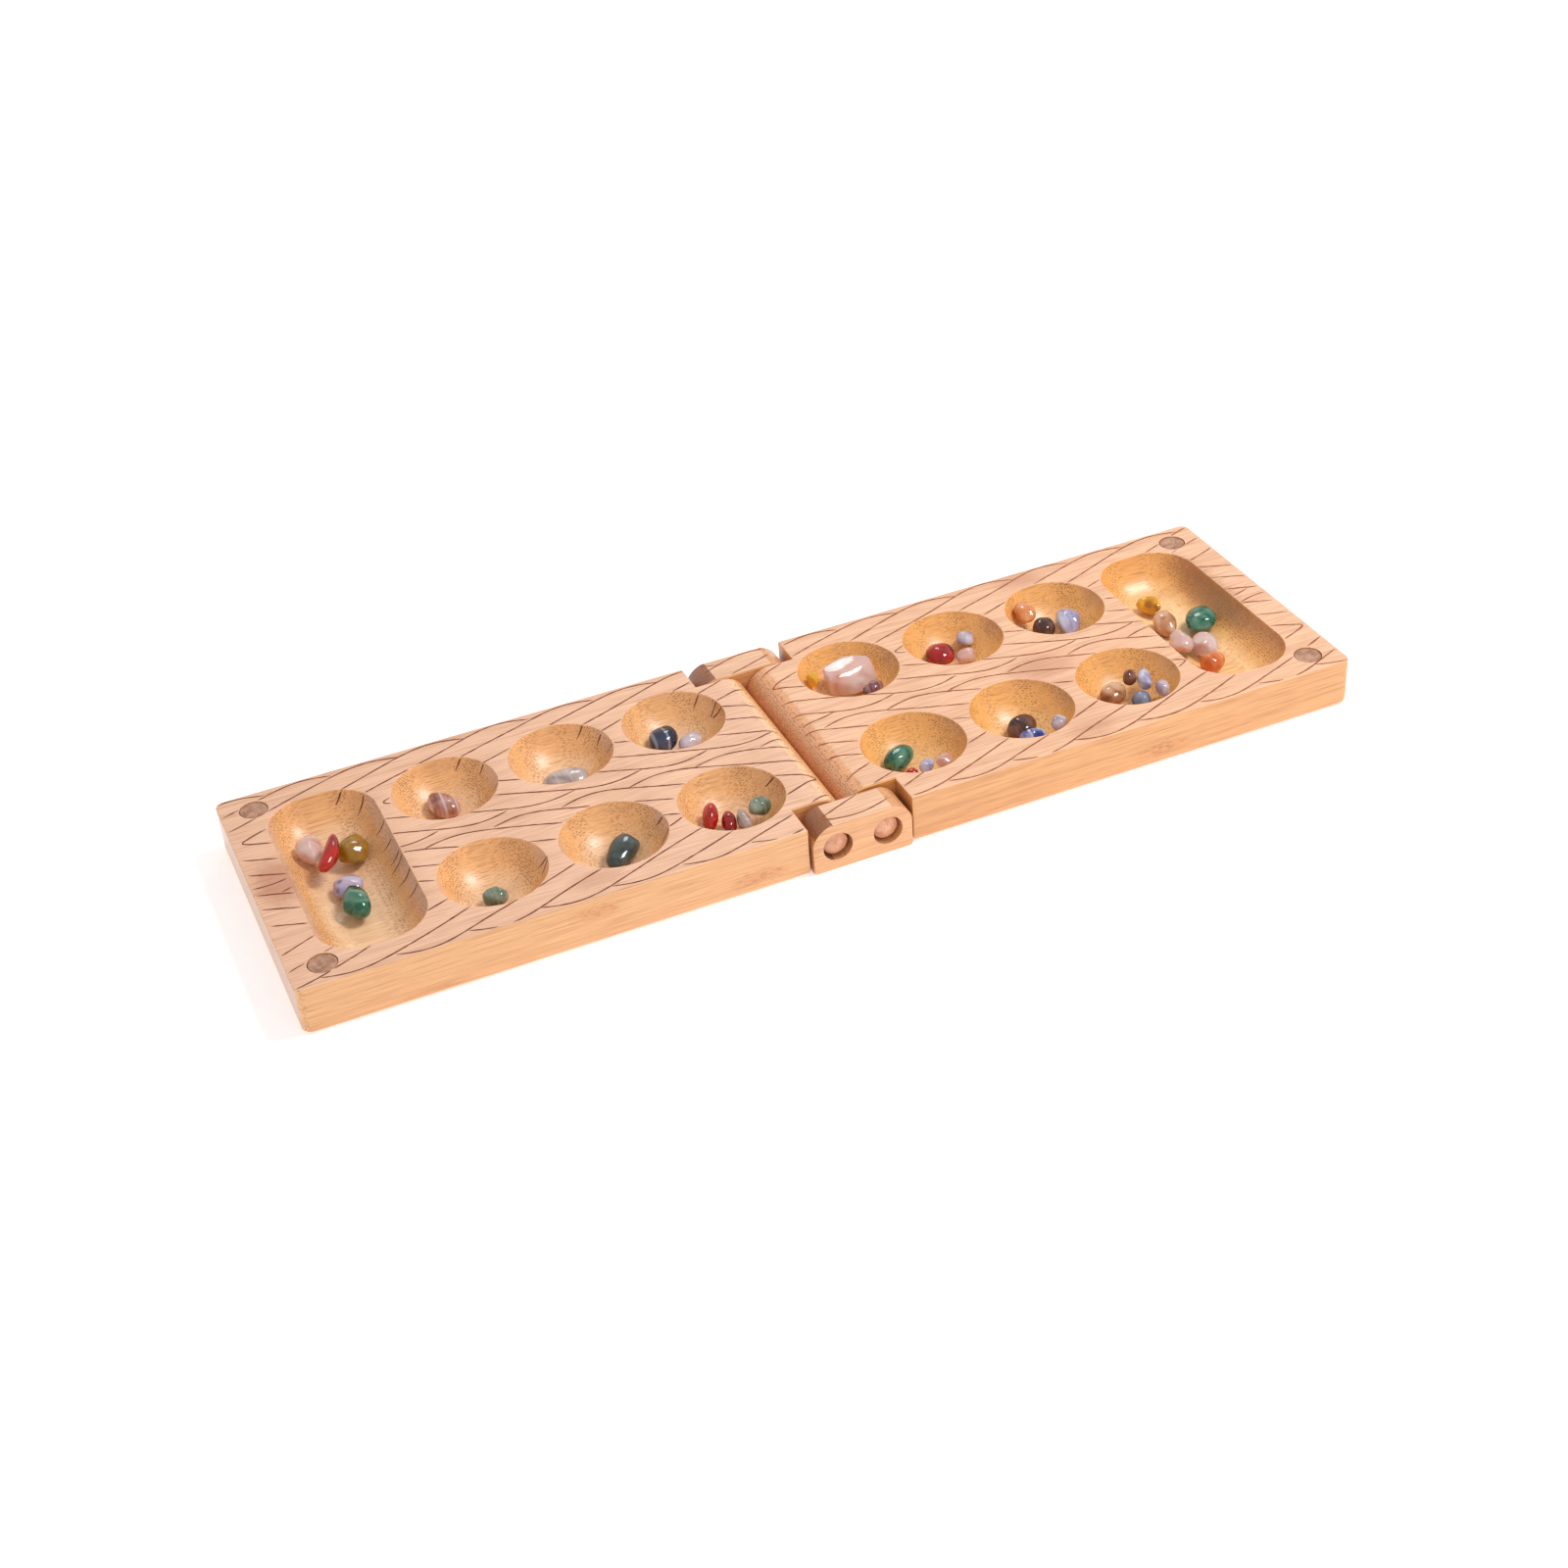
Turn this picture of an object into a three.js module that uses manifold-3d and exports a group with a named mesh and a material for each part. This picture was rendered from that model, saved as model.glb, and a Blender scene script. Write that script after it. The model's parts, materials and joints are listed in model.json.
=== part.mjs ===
// Folding mancala board with its gemstones, in millimetres, +Z up.
// The board lies open. The origin is the middle of its underside, +X runs along
// its length and +Y points to the back row of pits.
//
// Two identical bamboo halves meet at the middle. Each ends in a tongue with a
// round nose, and two link blocks sit in the notches beside the tongues. A pair of
// headed wooden pegs joins each block to both tongues, so each half folds up by
// a quarter turn and the two playing faces meet.

import * as THREE from 'three';
import { mergeVertices } from 'three/addons/utils/BufferGeometryUtils.js';
import Module from 'manifold-3d';

const wasm = await Module();
wasm.setup();

// ---------------------------------------------------------------- sizes

const BOARD_LENGTH = 445;
const BOARD_WIDTH = 130;
const BOARD_THICKNESS = 21;
const CORNER_RADIUS = 3.5;
const FOOT_ROUNDING = 2.2; // along the lower edges
const EDGE_BREAK = 0.4; // along the upper edges

// The hinge
const CLOSED_GAP = 0.3; // between the playing faces when folded
const PEG_X = (BOARD_THICKNESS + CLOSED_GAP) / 2;
const PEG_Z = BOARD_THICKNESS / 2;
const NOTCH_WALL_X = 22;
const TONGUE_HALF_WIDTH = 49.6;
const NOSE_LENGTH = 10.4; // from the peg axis to the tip of the tongue
const BLOCK_HALF_LENGTH = PEG_X + BOARD_THICKNESS / 2;
const BLOCK_DEPTH = 14.9;
const BLOCK_SHOULDER_RADIUS = 10.9; // about the peg axis
const BLOCK_EDGE_BREAK = 0.8;
const FRONT_BLOCK_FACE = 66.5; // the front block sits pulled out on its pegs
const BACK_BLOCK_FACE = 65;

const PEG_TIP = 65; // how far out the domed heads reach
const PEG_HEAD_RADIUS = 5.1;
const PEG_HEAD_LENGTH = 4;
const PEG_DOME = 1;
const PEG_SHANK_RADIUS = 3.1;
const PEG_SHANK_LENGTH = 31;
const COUNTERBORE_RADIUS = 6.15;
const COUNTERBORE_DEPTH = 5.8;
const FIT_GAP = 0.35; // round a peg, a plug or a magnet in its hole

// The hollows
const PIT_COLUMNS = [39.4, 88.3, 137.2];
const PIT_ROW_Y = 30.8;
const PIT_RIM_RADIUS = 21.35;
const HOLLOW_DEPTH = 14;
const STORE_X = 186;
const STORE_HALF_WIDTH = 21.6;
const STORE_HALF_LENGTH = 51.8;
const STORE_CUTTER_RADIUS = 18.5; // ball cutter that sweeps out a store

// The corner plugs and the magnets under them
const PLUG_X = 209.1;
const PLUG_Y = 53.4;
const PLUG_RADIUS = 5.4;
const PLUG_LENGTH = 5;
const PLUG_RECESS = 0.15;
const MAGNET_RADIUS = 5;
const MAGNET_THICKNESS = 3;

const STONE_GAP = 0.5; // what a stone keeps from the hollow and from other stones

const BOWL_SEGMENTS = 28;
const BOWL_STEPS = 6;
const ROUND_SEGMENTS = 20;

// ------------------------------------------------------------ materials

const wood = (name, color, roughness) =>
  new THREE.MeshStandardMaterial({ name, color, roughness, metalness: 0 });

const bamboo = wood('bamboo', 0xf0c08a, 0.45);
const blockBamboo = wood('block_bamboo', 0xeeb67a, 0.45);
const pegWood = wood('peg_wood', 0xd9956a, 0.3);
const plugWood = wood('plug_wood', 0xb9957a, 0.7);
const magnetSteel = new THREE.MeshStandardMaterial({
  name: 'magnet', color: 0xb8bcc0, roughness: 0.3, metalness: 1,
});

const STONE_COLORS = {
  rose_quartz: 0xe6c4bd,
  red_agate: 0x9a1410,
  honey_agate: 0xa0761c,
  amethyst: 0xa58bc4,
  green_agate: 0x2f7d5c,
  pink_jasper: 0xa0685a,
  grey_agate: 0xa89a94,
  black_agate: 0x2a2c36,
  lilac_quartz: 0xc9b7c4,
  amber: 0xc98a08,
  garnet: 0x6a3038,
  carnelian: 0xd2691e,
  brown_agate: 0x6a4436,
  lavender: 0xb0a6cc,
  moss_agate: 0x5f7566,
  dark_green: 0x2d403c,
  tan_jasper: 0xb07a50,
  blue_sodalite: 0x3a4a98,
  slate_blue: 0x5a6078,
};

const stoneMaterials = Object.fromEntries(
  Object.entries(STONE_COLORS).map(([name, color]) => [
    name,
    new THREE.MeshStandardMaterial({ name, color, roughness: 0.12, metalness: 0 }),
  ]),
);

// --------------------------------------------------------------- solids

function toSolid(geometry) {
  const bare = geometry.clone();
  bare.deleteAttribute('normal');
  bare.deleteAttribute('uv');
  const merged = mergeVertices(bare, 1e-4);
  return new wasm.Manifold(new wasm.Mesh({
    numProp: 3,
    vertProperties: new Float32Array(merged.attributes.position.array),
    triVerts: new Uint32Array(merged.index.array),
  }));
}

function toGeometry(solid) {
  const { vertProperties, triVerts } = solid.getMesh();
  const geometry = new THREE.BufferGeometry();
  geometry.setAttribute('position', new THREE.BufferAttribute(vertProperties, 3));
  geometry.setIndex(new THREE.BufferAttribute(triVerts, 1));
  return geometry;
}

// Corner points of a rectangle with round corners, anticlockwise from above.
// radii = [at +x, at -x]
function roundedRectangle(low, high, radii, steps) {
  const points = [];
  const corners = [
    [high[0], high[1], -1, -1, radii[0], 0],
    [low[0], high[1], 1, -1, radii[1], 1],
    [low[0], low[1], 1, 1, radii[1], 2],
    [high[0], low[1], -1, 1, radii[0], 3],
  ];
  for (const [x, y, inX, inY, radius, quarter] of corners) {
    for (let i = 0; i <= steps; i += 1) {
      const angle = (quarter + i / steps) * Math.PI / 2;
      points.push(new THREE.Vector2(
        x + inX * radius + radius * Math.cos(angle),
        y + inY * radius + radius * Math.sin(angle),
      ));
    }
  }
  return points;
}

// A closed body through a stack of convex outlines with equal point counts.
// levels = [[height, points], ...] from the bottom up.
function stackedBody(levels) {
  const count = levels[0][1].length;
  const position = [];
  for (const [z, points] of levels) {
    for (const p of points) position.push(p.x, p.y, z);
  }
  const index = [];
  for (let level = 0; level < levels.length - 1; level += 1) {
    for (let i = 0; i < count; i += 1) {
      const a = level * count + i;
      const b = level * count + (i + 1) % count;
      index.push(a, b, b + count, a, b + count, a + count);
    }
  }
  const top = (levels.length - 1) * count;
  for (let i = 1; i < count - 1; i += 1) {
    index.push(0, i + 1, i);
    index.push(top, top + i, top + i + 1);
  }
  const geometry = new THREE.BufferGeometry();
  geometry.setAttribute('position', new THREE.Float32BufferAttribute(position, 3));
  geometry.setIndex(index);
  return geometry;
}

// An outline in the XZ plane, drawn out along Y from yStart to yEnd.
function extrudeAlongY(shape, yStart, yEnd, curveSegments) {
  const geometry = new THREE.ExtrudeGeometry(shape, {
    depth: yEnd - yStart, bevelEnabled: false, curveSegments,
  });
  geometry.rotateX(Math.PI / 2);
  geometry.translate(0, yEnd, 0);
  return geometry;
}

function cylinderAlongY(radius, x, yStart, yEnd, z) {
  const geometry = new THREE.CylinderGeometry(radius, radius, yEnd - yStart, ROUND_SEGMENTS);
  geometry.translate(x, (yStart + yEnd) / 2, z);
  return geometry;
}

function cylinderAlongZ(radius, x, y, zStart, zEnd) {
  const geometry = new THREE.CylinderGeometry(radius, radius, zEnd - zStart, ROUND_SEGMENTS);
  geometry.rotateX(Math.PI / 2);
  geometry.translate(x, y, (zStart + zEnd) / 2);
  return geometry;
}

// -------------------------------------------------------------- hollows

const FLOOR_Z = BOARD_THICKNESS - HOLLOW_DEPTH;
const CUT_ABOVE = 4; // how far a cutter stands out above the playing face

// Each hollow is what a ball of this radius sweeps out as its centre moves over
// a small rectangle. For a pit the rectangle is a point.
function hollow(halfWidth, halfLength, cutterRadius) {
  const rim = Math.sqrt(cutterRadius ** 2 - (cutterRadius - HOLLOW_DEPTH) ** 2);
  return {
    radius: cutterRadius,
    centreZ: FLOOR_Z + cutterRadius,
    flatX: Math.max(halfWidth - rim, 0),
    flatY: Math.max(halfLength - rim, 0),
  };
}

const PIT_CUTTER_RADIUS = (PIT_RIM_RADIUS ** 2 + HOLLOW_DEPTH ** 2) / (2 * HOLLOW_DEPTH);
const pitHollow = hollow(PIT_RIM_RADIUS, PIT_RIM_RADIUS, PIT_CUTTER_RADIUS);
const storeHollow = hollow(STORE_HALF_WIDTH, STORE_HALF_LENGTH, STORE_CUTTER_RADIUS);

function pitCutter() {
  const profile = [new THREE.Vector2(0, FLOOR_Z)];
  const rimAngle = Math.asin(PIT_RIM_RADIUS / pitHollow.radius);
  for (let i = 1; i <= BOWL_STEPS; i += 1) {
    const angle = rimAngle * i / BOWL_STEPS;
    profile.push(new THREE.Vector2(
      pitHollow.radius * Math.sin(angle),
      pitHollow.centreZ - pitHollow.radius * Math.cos(angle),
    ));
  }
  profile.push(new THREE.Vector2(PIT_RIM_RADIUS, BOARD_THICKNESS + CUT_ABOVE));
  profile.push(new THREE.Vector2(0, BOARD_THICKNESS + CUT_ABOVE));
  const geometry = new THREE.LatheGeometry(profile, BOWL_SEGMENTS);
  geometry.rotateX(Math.PI / 2);
  return geometry;
}

function storeCutter() {
  const { radius, centreZ, flatX, flatY } = storeHollow;
  const ring = (inset) => roundedRectangle(
    [-flatX - inset, -flatY - inset], [flatX + inset, flatY + inset],
    [inset, inset], BOWL_SEGMENTS / 4,
  );
  const rimInset = STORE_HALF_WIDTH - flatX;
  const levels = [];
  const rimAngle = Math.asin(rimInset / radius);
  const firstAngle = rimAngle / (2 * BOWL_STEPS);
  for (let i = 0; i <= BOWL_STEPS; i += 1) {
    const angle = firstAngle + (rimAngle - firstAngle) * i / BOWL_STEPS;
    levels.push([centreZ - radius * Math.cos(angle), ring(radius * Math.sin(angle))]);
  }
  levels.push([BOARD_THICKNESS + CUT_ABOVE, ring(rimInset)]);
  return stackedBody(levels);
}

// ------------------------------------------------------ bamboo sub-parts

const MAGNET_FLOOR = BOARD_THICKNESS - PLUG_RECESS - PLUG_LENGTH
  - MAGNET_THICKNESS - 2 * FIT_GAP;

// The right-hand half. The left-hand one is the same piece turned by half a turn.
function boardHalf() {
  const halfLength = BOARD_LENGTH / 2;
  const halfWidth = BOARD_WIDTH / 2;
  const outline = (inset) => roundedRectangle(
    [NOTCH_WALL_X + inset, -halfWidth + inset], [halfLength - inset, halfWidth - inset],
    [CORNER_RADIUS, EDGE_BREAK], 4,
  );
  let solid = toSolid(stackedBody([
    [0, outline(FOOT_ROUNDING)],
    [FOOT_ROUNDING * 0.3, outline(FOOT_ROUNDING * 0.3)],
    [FOOT_ROUNDING, outline(0)],
    [BOARD_THICKNESS - EDGE_BREAK, outline(0)],
    [BOARD_THICKNESS, outline(EDGE_BREAK)],
  ]));

  const overlap = 4; // how far the tongue runs on into the half
  const tongue = new THREE.Shape();
  tongue.moveTo(NOTCH_WALL_X + overlap, BOARD_THICKNESS);
  tongue.lineTo(PEG_X, BOARD_THICKNESS);
  tongue.absellipse(
    PEG_X, PEG_Z, NOSE_LENGTH, BOARD_THICKNESS / 2, Math.PI / 2, Math.PI * 3 / 2, false,
  );
  tongue.lineTo(NOTCH_WALL_X + overlap, 0);
  solid = solid.add(toSolid(
    extrudeAlongY(tongue, -TONGUE_HALF_WIDTH, TONGUE_HALF_WIDTH, 14),
  ));

  for (const x of PIT_COLUMNS) {
    for (const y of [-PIT_ROW_Y, PIT_ROW_Y]) {
      solid = solid.subtract(toSolid(pitCutter().translate(x, y, 0)));
    }
  }
  solid = solid.subtract(toSolid(storeCutter().translate(STORE_X, 0, 0)));

  const shankEnd = PEG_TIP - PEG_HEAD_LENGTH - PEG_SHANK_LENGTH;
  for (const side of [-1, 1]) {
    const ends = [side * (shankEnd - FIT_GAP), side * BOARD_WIDTH].sort((a, b) => a - b);
    solid = solid.subtract(toSolid(
      cylinderAlongY(PEG_SHANK_RADIUS + FIT_GAP, PEG_X, ends[0], ends[1], PEG_Z),
    ));
    solid = solid.subtract(toSolid(cylinderAlongZ(
      PLUG_RADIUS + FIT_GAP, PLUG_X, side * PLUG_Y, MAGNET_FLOOR, BOARD_THICKNESS + CUT_ABOVE,
    )));
  }
  return toGeometry(solid);
}

// A link block, its outer face at y = 0 and its body behind it.
function linkBlock() {
  const shoulder = Math.acos((BLOCK_HALF_LENGTH - PEG_X) / BLOCK_SHOULDER_RADIUS);
  const shape = new THREE.Shape();
  shape.moveTo(-BLOCK_HALF_LENGTH + BLOCK_EDGE_BREAK, 0);
  shape.lineTo(BLOCK_HALF_LENGTH - BLOCK_EDGE_BREAK, 0);
  shape.lineTo(BLOCK_HALF_LENGTH, BLOCK_EDGE_BREAK);
  shape.absarc(
    PEG_X, PEG_Z, BLOCK_SHOULDER_RADIUS, shoulder, Math.PI / 2 - shoulder, false,
  );
  shape.absarc(
    -PEG_X, PEG_Z, BLOCK_SHOULDER_RADIUS, Math.PI / 2 + shoulder, Math.PI - shoulder, false,
  );
  shape.lineTo(-BLOCK_HALF_LENGTH, BLOCK_EDGE_BREAK);
  shape.closePath();
  let solid = toSolid(extrudeAlongY(shape, 0, BLOCK_DEPTH, 6));
  for (const x of [-PEG_X, PEG_X]) {
    solid = solid.subtract(toSolid(
      cylinderAlongY(PEG_SHANK_RADIUS + FIT_GAP, x, -1, BLOCK_DEPTH + 1, PEG_Z),
    ));
    solid = solid.subtract(toSolid(
      cylinderAlongY(COUNTERBORE_RADIUS, x, -1, COUNTERBORE_DEPTH, PEG_Z),
    ));
  }
  return toGeometry(solid);
}

// A headed peg along +Y: the domed tip at y = 0 and the shank behind it.
function hingePeg() {
  const profile = [
    [0, 0],
    [PEG_HEAD_RADIUS * 0.55, PEG_DOME * 0.2],
    [PEG_HEAD_RADIUS * 0.9, PEG_DOME * 0.6],
    [PEG_HEAD_RADIUS, PEG_DOME],
    [PEG_HEAD_RADIUS, PEG_HEAD_LENGTH],
    [PEG_SHANK_RADIUS, PEG_HEAD_LENGTH],
    [PEG_SHANK_RADIUS, PEG_HEAD_LENGTH + PEG_SHANK_LENGTH],
    [0, PEG_HEAD_LENGTH + PEG_SHANK_LENGTH],
  ].map(([radius, along]) => new THREE.Vector2(radius, along));
  return new THREE.LatheGeometry(profile, ROUND_SEGMENTS);
}

// --------------------------------------------------------------- stones

// A tumbled stone is a unit ball that is squared (2 is round, more is boxier),
// tapered towards its -x end, bent sideways and then stretched to its size.
class TumbledStone {
  constructor({ size, square = 2.2, taper = 0, bend = 0, turn = [0, 0, 0] }) {
    this.half = size.map((length) => length / 2);
    this.square = square;
    this.taper = taper;
    this.bend = bend;
    const [roll, pitch, yaw] = turn.map(THREE.MathUtils.degToRad);
    this.rotation = new THREE.Quaternion().setFromEuler(
      new THREE.Euler(roll, pitch, yaw, 'ZYX'),
    );
    this.centre = new THREE.Vector3();
  }

  ballNorm(p) {
    const n = this.square;
    return (Math.abs(p.x) ** n + Math.abs(p.y) ** n + Math.abs(p.z) ** n) ** (1 / n);
  }

  // From a point of the unit ball to the stone, turned but not yet placed
  shape(point) {
    const p = point.clone().divideScalar(this.ballNorm(point));
    const width = 1 + this.taper * p.x;
    p.y = p.y * width + this.bend * (p.x ** 2 - 0.3);
    p.z *= width;
    p.set(p.x * this.half[0], p.y * this.half[1], p.z * this.half[2]);
    return p.applyQuaternion(this.rotation);
  }

  // Whether a placed point lies within the gap of the stone's surface
  reaches(point) {
    const p = point.clone().sub(this.centre).applyQuaternion(this.rotation.clone().invert());
    p.set(
      p.x / (this.half[0] + STONE_GAP),
      p.y / (this.half[1] + STONE_GAP),
      p.z / (this.half[2] + STONE_GAP),
    );
    const width = 1 + this.taper * THREE.MathUtils.clamp(p.x, -1, 1);
    p.y = (p.y - this.bend * (p.x ** 2 - 0.3)) / width;
    p.z /= width;
    return this.ballNorm(p) < 1;
  }

  geometry() {
    const geometry = new THREE.IcosahedronGeometry(1, 1);
    const position = geometry.attributes.position;
    const point = new THREE.Vector3();
    for (let i = 0; i < position.count; i += 1) {
      point.fromBufferAttribute(position, i);
      position.setXYZ(i, ...this.shape(point));
    }
    geometry.deleteAttribute('normal');
    geometry.deleteAttribute('uv');
    return mergeVertices(geometry, 1e-4);
  }
}

const samplePoints = (() => {
  const { position } = new THREE.IcosahedronGeometry(1, 6).attributes;
  return Array.from({ length: position.count }, (_, i) =>
    new THREE.Vector3().fromBufferAttribute(position, i));
})();

function clearsHollow(point, { radius, centreZ, flatX, flatY }) {
  const x = Math.max(Math.abs(point.x) - flatX, 0);
  const y = Math.max(Math.abs(point.y) - flatY, 0);
  return Math.hypot(x, y, point.z - centreZ) < radius - STONE_GAP;
}

// Lets a stone sink straight down until it rests on the hollow or another stone.
function settle(stone, [x, y], hollowShape, others) {
  const surface = samplePoints.map((p) => stone.shape(p));
  const point = new THREE.Vector3();
  const isClear = (z) => surface.every((p) => {
    point.set(x + p.x, y + p.y, z + p.z);
    return clearsHollow(point, hollowShape) && !others.some((o) => o.reaches(point));
  });
  let z = BOARD_THICKNESS + HOLLOW_DEPTH / 2;
  for (const step of [1, 0.2, 0.04]) {
    while (isClear(z - step)) z -= step;
  }
  stone.centre.set(x, y, z);
}

// at = [x, y] from the middle of the hollow; size = [length, width, height];
// turn = [roll, pitch, yaw] in degrees. Stones lower in a pile come first.
const LEFT_STORE_STONES = [
  { name: 'rose', stone: 'rose_quartz', at: [-8.5, 28.5], size: [17, 11, 7], turn: [0, 0, 84] },
  {
    name: 'honey', stone: 'honey_agate', at: [7.5, 21],
    size: [18, 11.5, 8], taper: 0.35, turn: [-10, 0, 240],
  },
  {
    name: 'red_comma', stone: 'red_agate', at: [-2.6, 14.8],
    size: [21, 6.5, 5.5], taper: -0.3, bend: 0.5, turn: [0, -7, 62],
  },
  {
    name: 'purple', stone: 'amethyst', at: [-0.5, 0.6],
    size: [12, 11, 6], square: 2.6, turn: [0, 0, 20],
  },
  {
    name: 'green_drop', stone: 'green_agate', at: [-1, -13],
    size: [18, 10, 8], taper: 0.35, turn: [0, 8, -94],
  },
];

const RIGHT_STORE_STONES = [
  { name: 'amber', stone: 'amber', at: [-5, 25.5], size: [12, 8.5, 7], square: 2.8, turn: [0, 0, 105] },
  {
    name: 'carnelian', stone: 'tan_jasper', at: [-7.5, 8.5],
    size: [17, 9.5, 8], taper: 0.2, turn: [0, 0, 66],
  },
  { name: 'green', stone: 'green_agate', at: [7.5, 4], size: [18, 12.5, 7.5], turn: [-10, 0, 50] },
  { name: 'rose_low', stone: 'rose_quartz', at: [-9.5, -9], size: [16, 9.5, 8], turn: [0, 0, 70] },
  {
    name: 'rose', stone: 'rose_quartz', at: [-0.4, -13.5],
    size: [17, 9.5, 8], square: 2.5, turn: [0, 0, 72],
  },
  {
    name: 'orange', stone: 'carnelian', at: [-5.5, -27.5],
    size: [11.5, 10, 8.5], taper: 0.3, turn: [0, 0, 200],
  },
];

const LEFT_PIT_STONES = {
  back_1: [
    {
      name: 'pink_brown', stone: 'pink_jasper', at: [-1.8, 1.6],
      size: [17.5, 10, 8.5], taper: -0.25, turn: [0, 0, 110],
    },
  ],
  back_2: [
    { name: 'grey', stone: 'grey_agate', at: [-0.3, -4.5], size: [19, 12, 5.5], turn: [0, 0, -4] },
  ],
  back_3: [
    {
      name: 'black', stone: 'black_agate', at: [-5.5, 0.5],
      size: [15, 11.5, 8.5], taper: 0.15, turn: [0, 0, 62],
    },
    { name: 'lilac', stone: 'lilac_quartz', at: [4.5, -5.5], size: [12, 8.5, 6], turn: [0, 0, 35] },
  ],
  front_1: [
    { name: 'grey_green', stone: 'moss_agate', at: [-1, -3], size: [10, 8.5, 6.5], turn: [0, 0, 0] },
  ],
  front_2: [
    {
      name: 'dark_green', stone: 'dark_green', at: [2, -1],
      size: [22, 11, 8], taper: 0.1, turn: [0, 0, 50],
    },
  ],
  front_3: [
    { name: 'red', stone: 'red_agate', at: [-9, 1], size: [13.5, 6.5, 8], turn: [0, -8, 66] },
    { name: 'red_thin', stone: 'red_agate', at: [-3.2, -3.5], size: [12, 5.5, 7], turn: [0, -5, 74] },
    {
      name: 'grey', stone: 'grey_agate', at: [2.4, -5],
      size: [12, 5, 6.5], taper: -0.3, turn: [0, -5, 82],
    },
    { name: 'moss', stone: 'moss_agate', at: [9.6, -5], size: [10.5, 8, 7.5], turn: [0, 0, 30] },
  ],
};

const RIGHT_PIT_STONES = {
  back_1: [
    { name: 'garnet', stone: 'garnet', at: [6, -11], size: [11, 7, 6], taper: -0.2, turn: [0, 0, 36] },
    { name: 'amber', stone: 'amber', at: [-14.5, 4.5], size: [7, 5, 5.5], turn: [0, 0, 80] },
    {
      name: 'slab', stone: 'rose_quartz', at: [2.2, 3.6],
      size: [24, 16, 5.5], square: 2.7, turn: [27, 0, 16],
    },
  ],
  back_2: [
    {
      name: 'brown_red', stone: 'red_agate', at: [-5, 2.5],
      size: [15, 12, 8], taper: -0.15, turn: [0, 0, 62],
    },
    { name: 'pink', stone: 'rose_quartz', at: [4.4, -3.5], size: [9, 8, 7], turn: [0, 0, 20] },
    { name: 'clear', stone: 'lilac_quartz', at: [8.8, 6], size: [10.5, 8, 6], turn: [0, 0, 60] },
  ],
  back_3: [
    {
      name: 'brown', stone: 'brown_agate', at: [-5.5, -0.5],
      size: [13, 9.5, 8], taper: -0.2, turn: [0, 0, 62],
    },
    {
      name: 'lavender', stone: 'lavender', at: [6, -1.5],
      size: [18, 9.5, 8], taper: 0.15, turn: [0, 0, 62],
    },
    { name: 'orange', stone: 'carnelian', at: [-10, 8], size: [13.5, 8.5, 6.5], turn: [0, 0, 80] },
  ],
  front_1: [
    {
      name: 'green', stone: 'green_agate', at: [-5.4, 3],
      size: [16, 10, 7.5], square: 2.5, turn: [0, 0, 35],
    },
    { name: 'red_chip', stone: 'red_agate', at: [-5, -8], size: [6, 5, 4], turn: [0, 0, 20] },
    { name: 'lavender', stone: 'lavender', at: [1.6, -8], size: [8, 5.5, 4.5], turn: [0, 0, 42] },
    { name: 'pink', stone: 'rose_quartz', at: [8.4, -10.5], size: [7.5, 6, 4.5], turn: [0, 0, 15] },
  ],
  front_2: [
    { name: 'brown', stone: 'brown_agate', at: [0, 0.4], size: [16, 12, 7.5], turn: [0, 0, 42] },
    {
      name: 'blue', stone: 'blue_sodalite', at: [-0.6, -10],
      size: [11, 6, 5.5], square: 2.6, turn: [0, 0, -5],
    },
    {
      name: 'lavender', stone: 'lilac_quartz', at: [10.5, -11.5],
      size: [9, 5.5, 4.5], turn: [0, 0, 42],
    },
  ],
  front_3: [
    {
      name: 'tan', stone: 'tan_jasper', at: [-6, 1],
      size: [14, 10.5, 8], square: 2.5, turn: [0, 0, 52],
    },
    { name: 'brown', stone: 'brown_agate', at: [3, 3.4], size: [6.5, 5.5, 6.5], turn: [0, 0, 70] },
    { name: 'slate', stone: 'slate_blue', at: [2.6, -7], size: [9, 7.5, 6.5], turn: [0, 0, 30] },
    { name: 'lilac', stone: 'lilac_quartz', at: [11, -9.5], size: [9, 5.5, 5.5], turn: [0, 0, 72] },
    {
      name: 'white', stone: 'lavender', at: [8.6, 1],
      size: [13, 5.5, 5.5], square: 2.6, turn: [0, 0, 66],
    },
  ],
};

function stonesInHollow(prefix, centre, hollowShape, list) {
  const group = new THREE.Group();
  group.position.set(centre[0], centre[1], 0);
  const placed = [];
  for (const { name, stone: kind, at, ...form } of list) {
    const stone = new TumbledStone(form);
    settle(stone, at, hollowShape, placed);
    placed.push(stone);
    const mesh = new THREE.Mesh(stone.geometry(), stoneMaterials[kind]);
    mesh.name = `${prefix}_${name}`;
    mesh.position.copy(stone.centre);
    group.add(mesh);
  }
  return group;
}

// ------------------------------------------------------------- assembly

const board = new THREE.Group();

function addMesh(parent, name, geometry, material) {
  const mesh = new THREE.Mesh(geometry, material);
  mesh.name = name;
  parent.add(mesh);
  return mesh;
}

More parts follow.
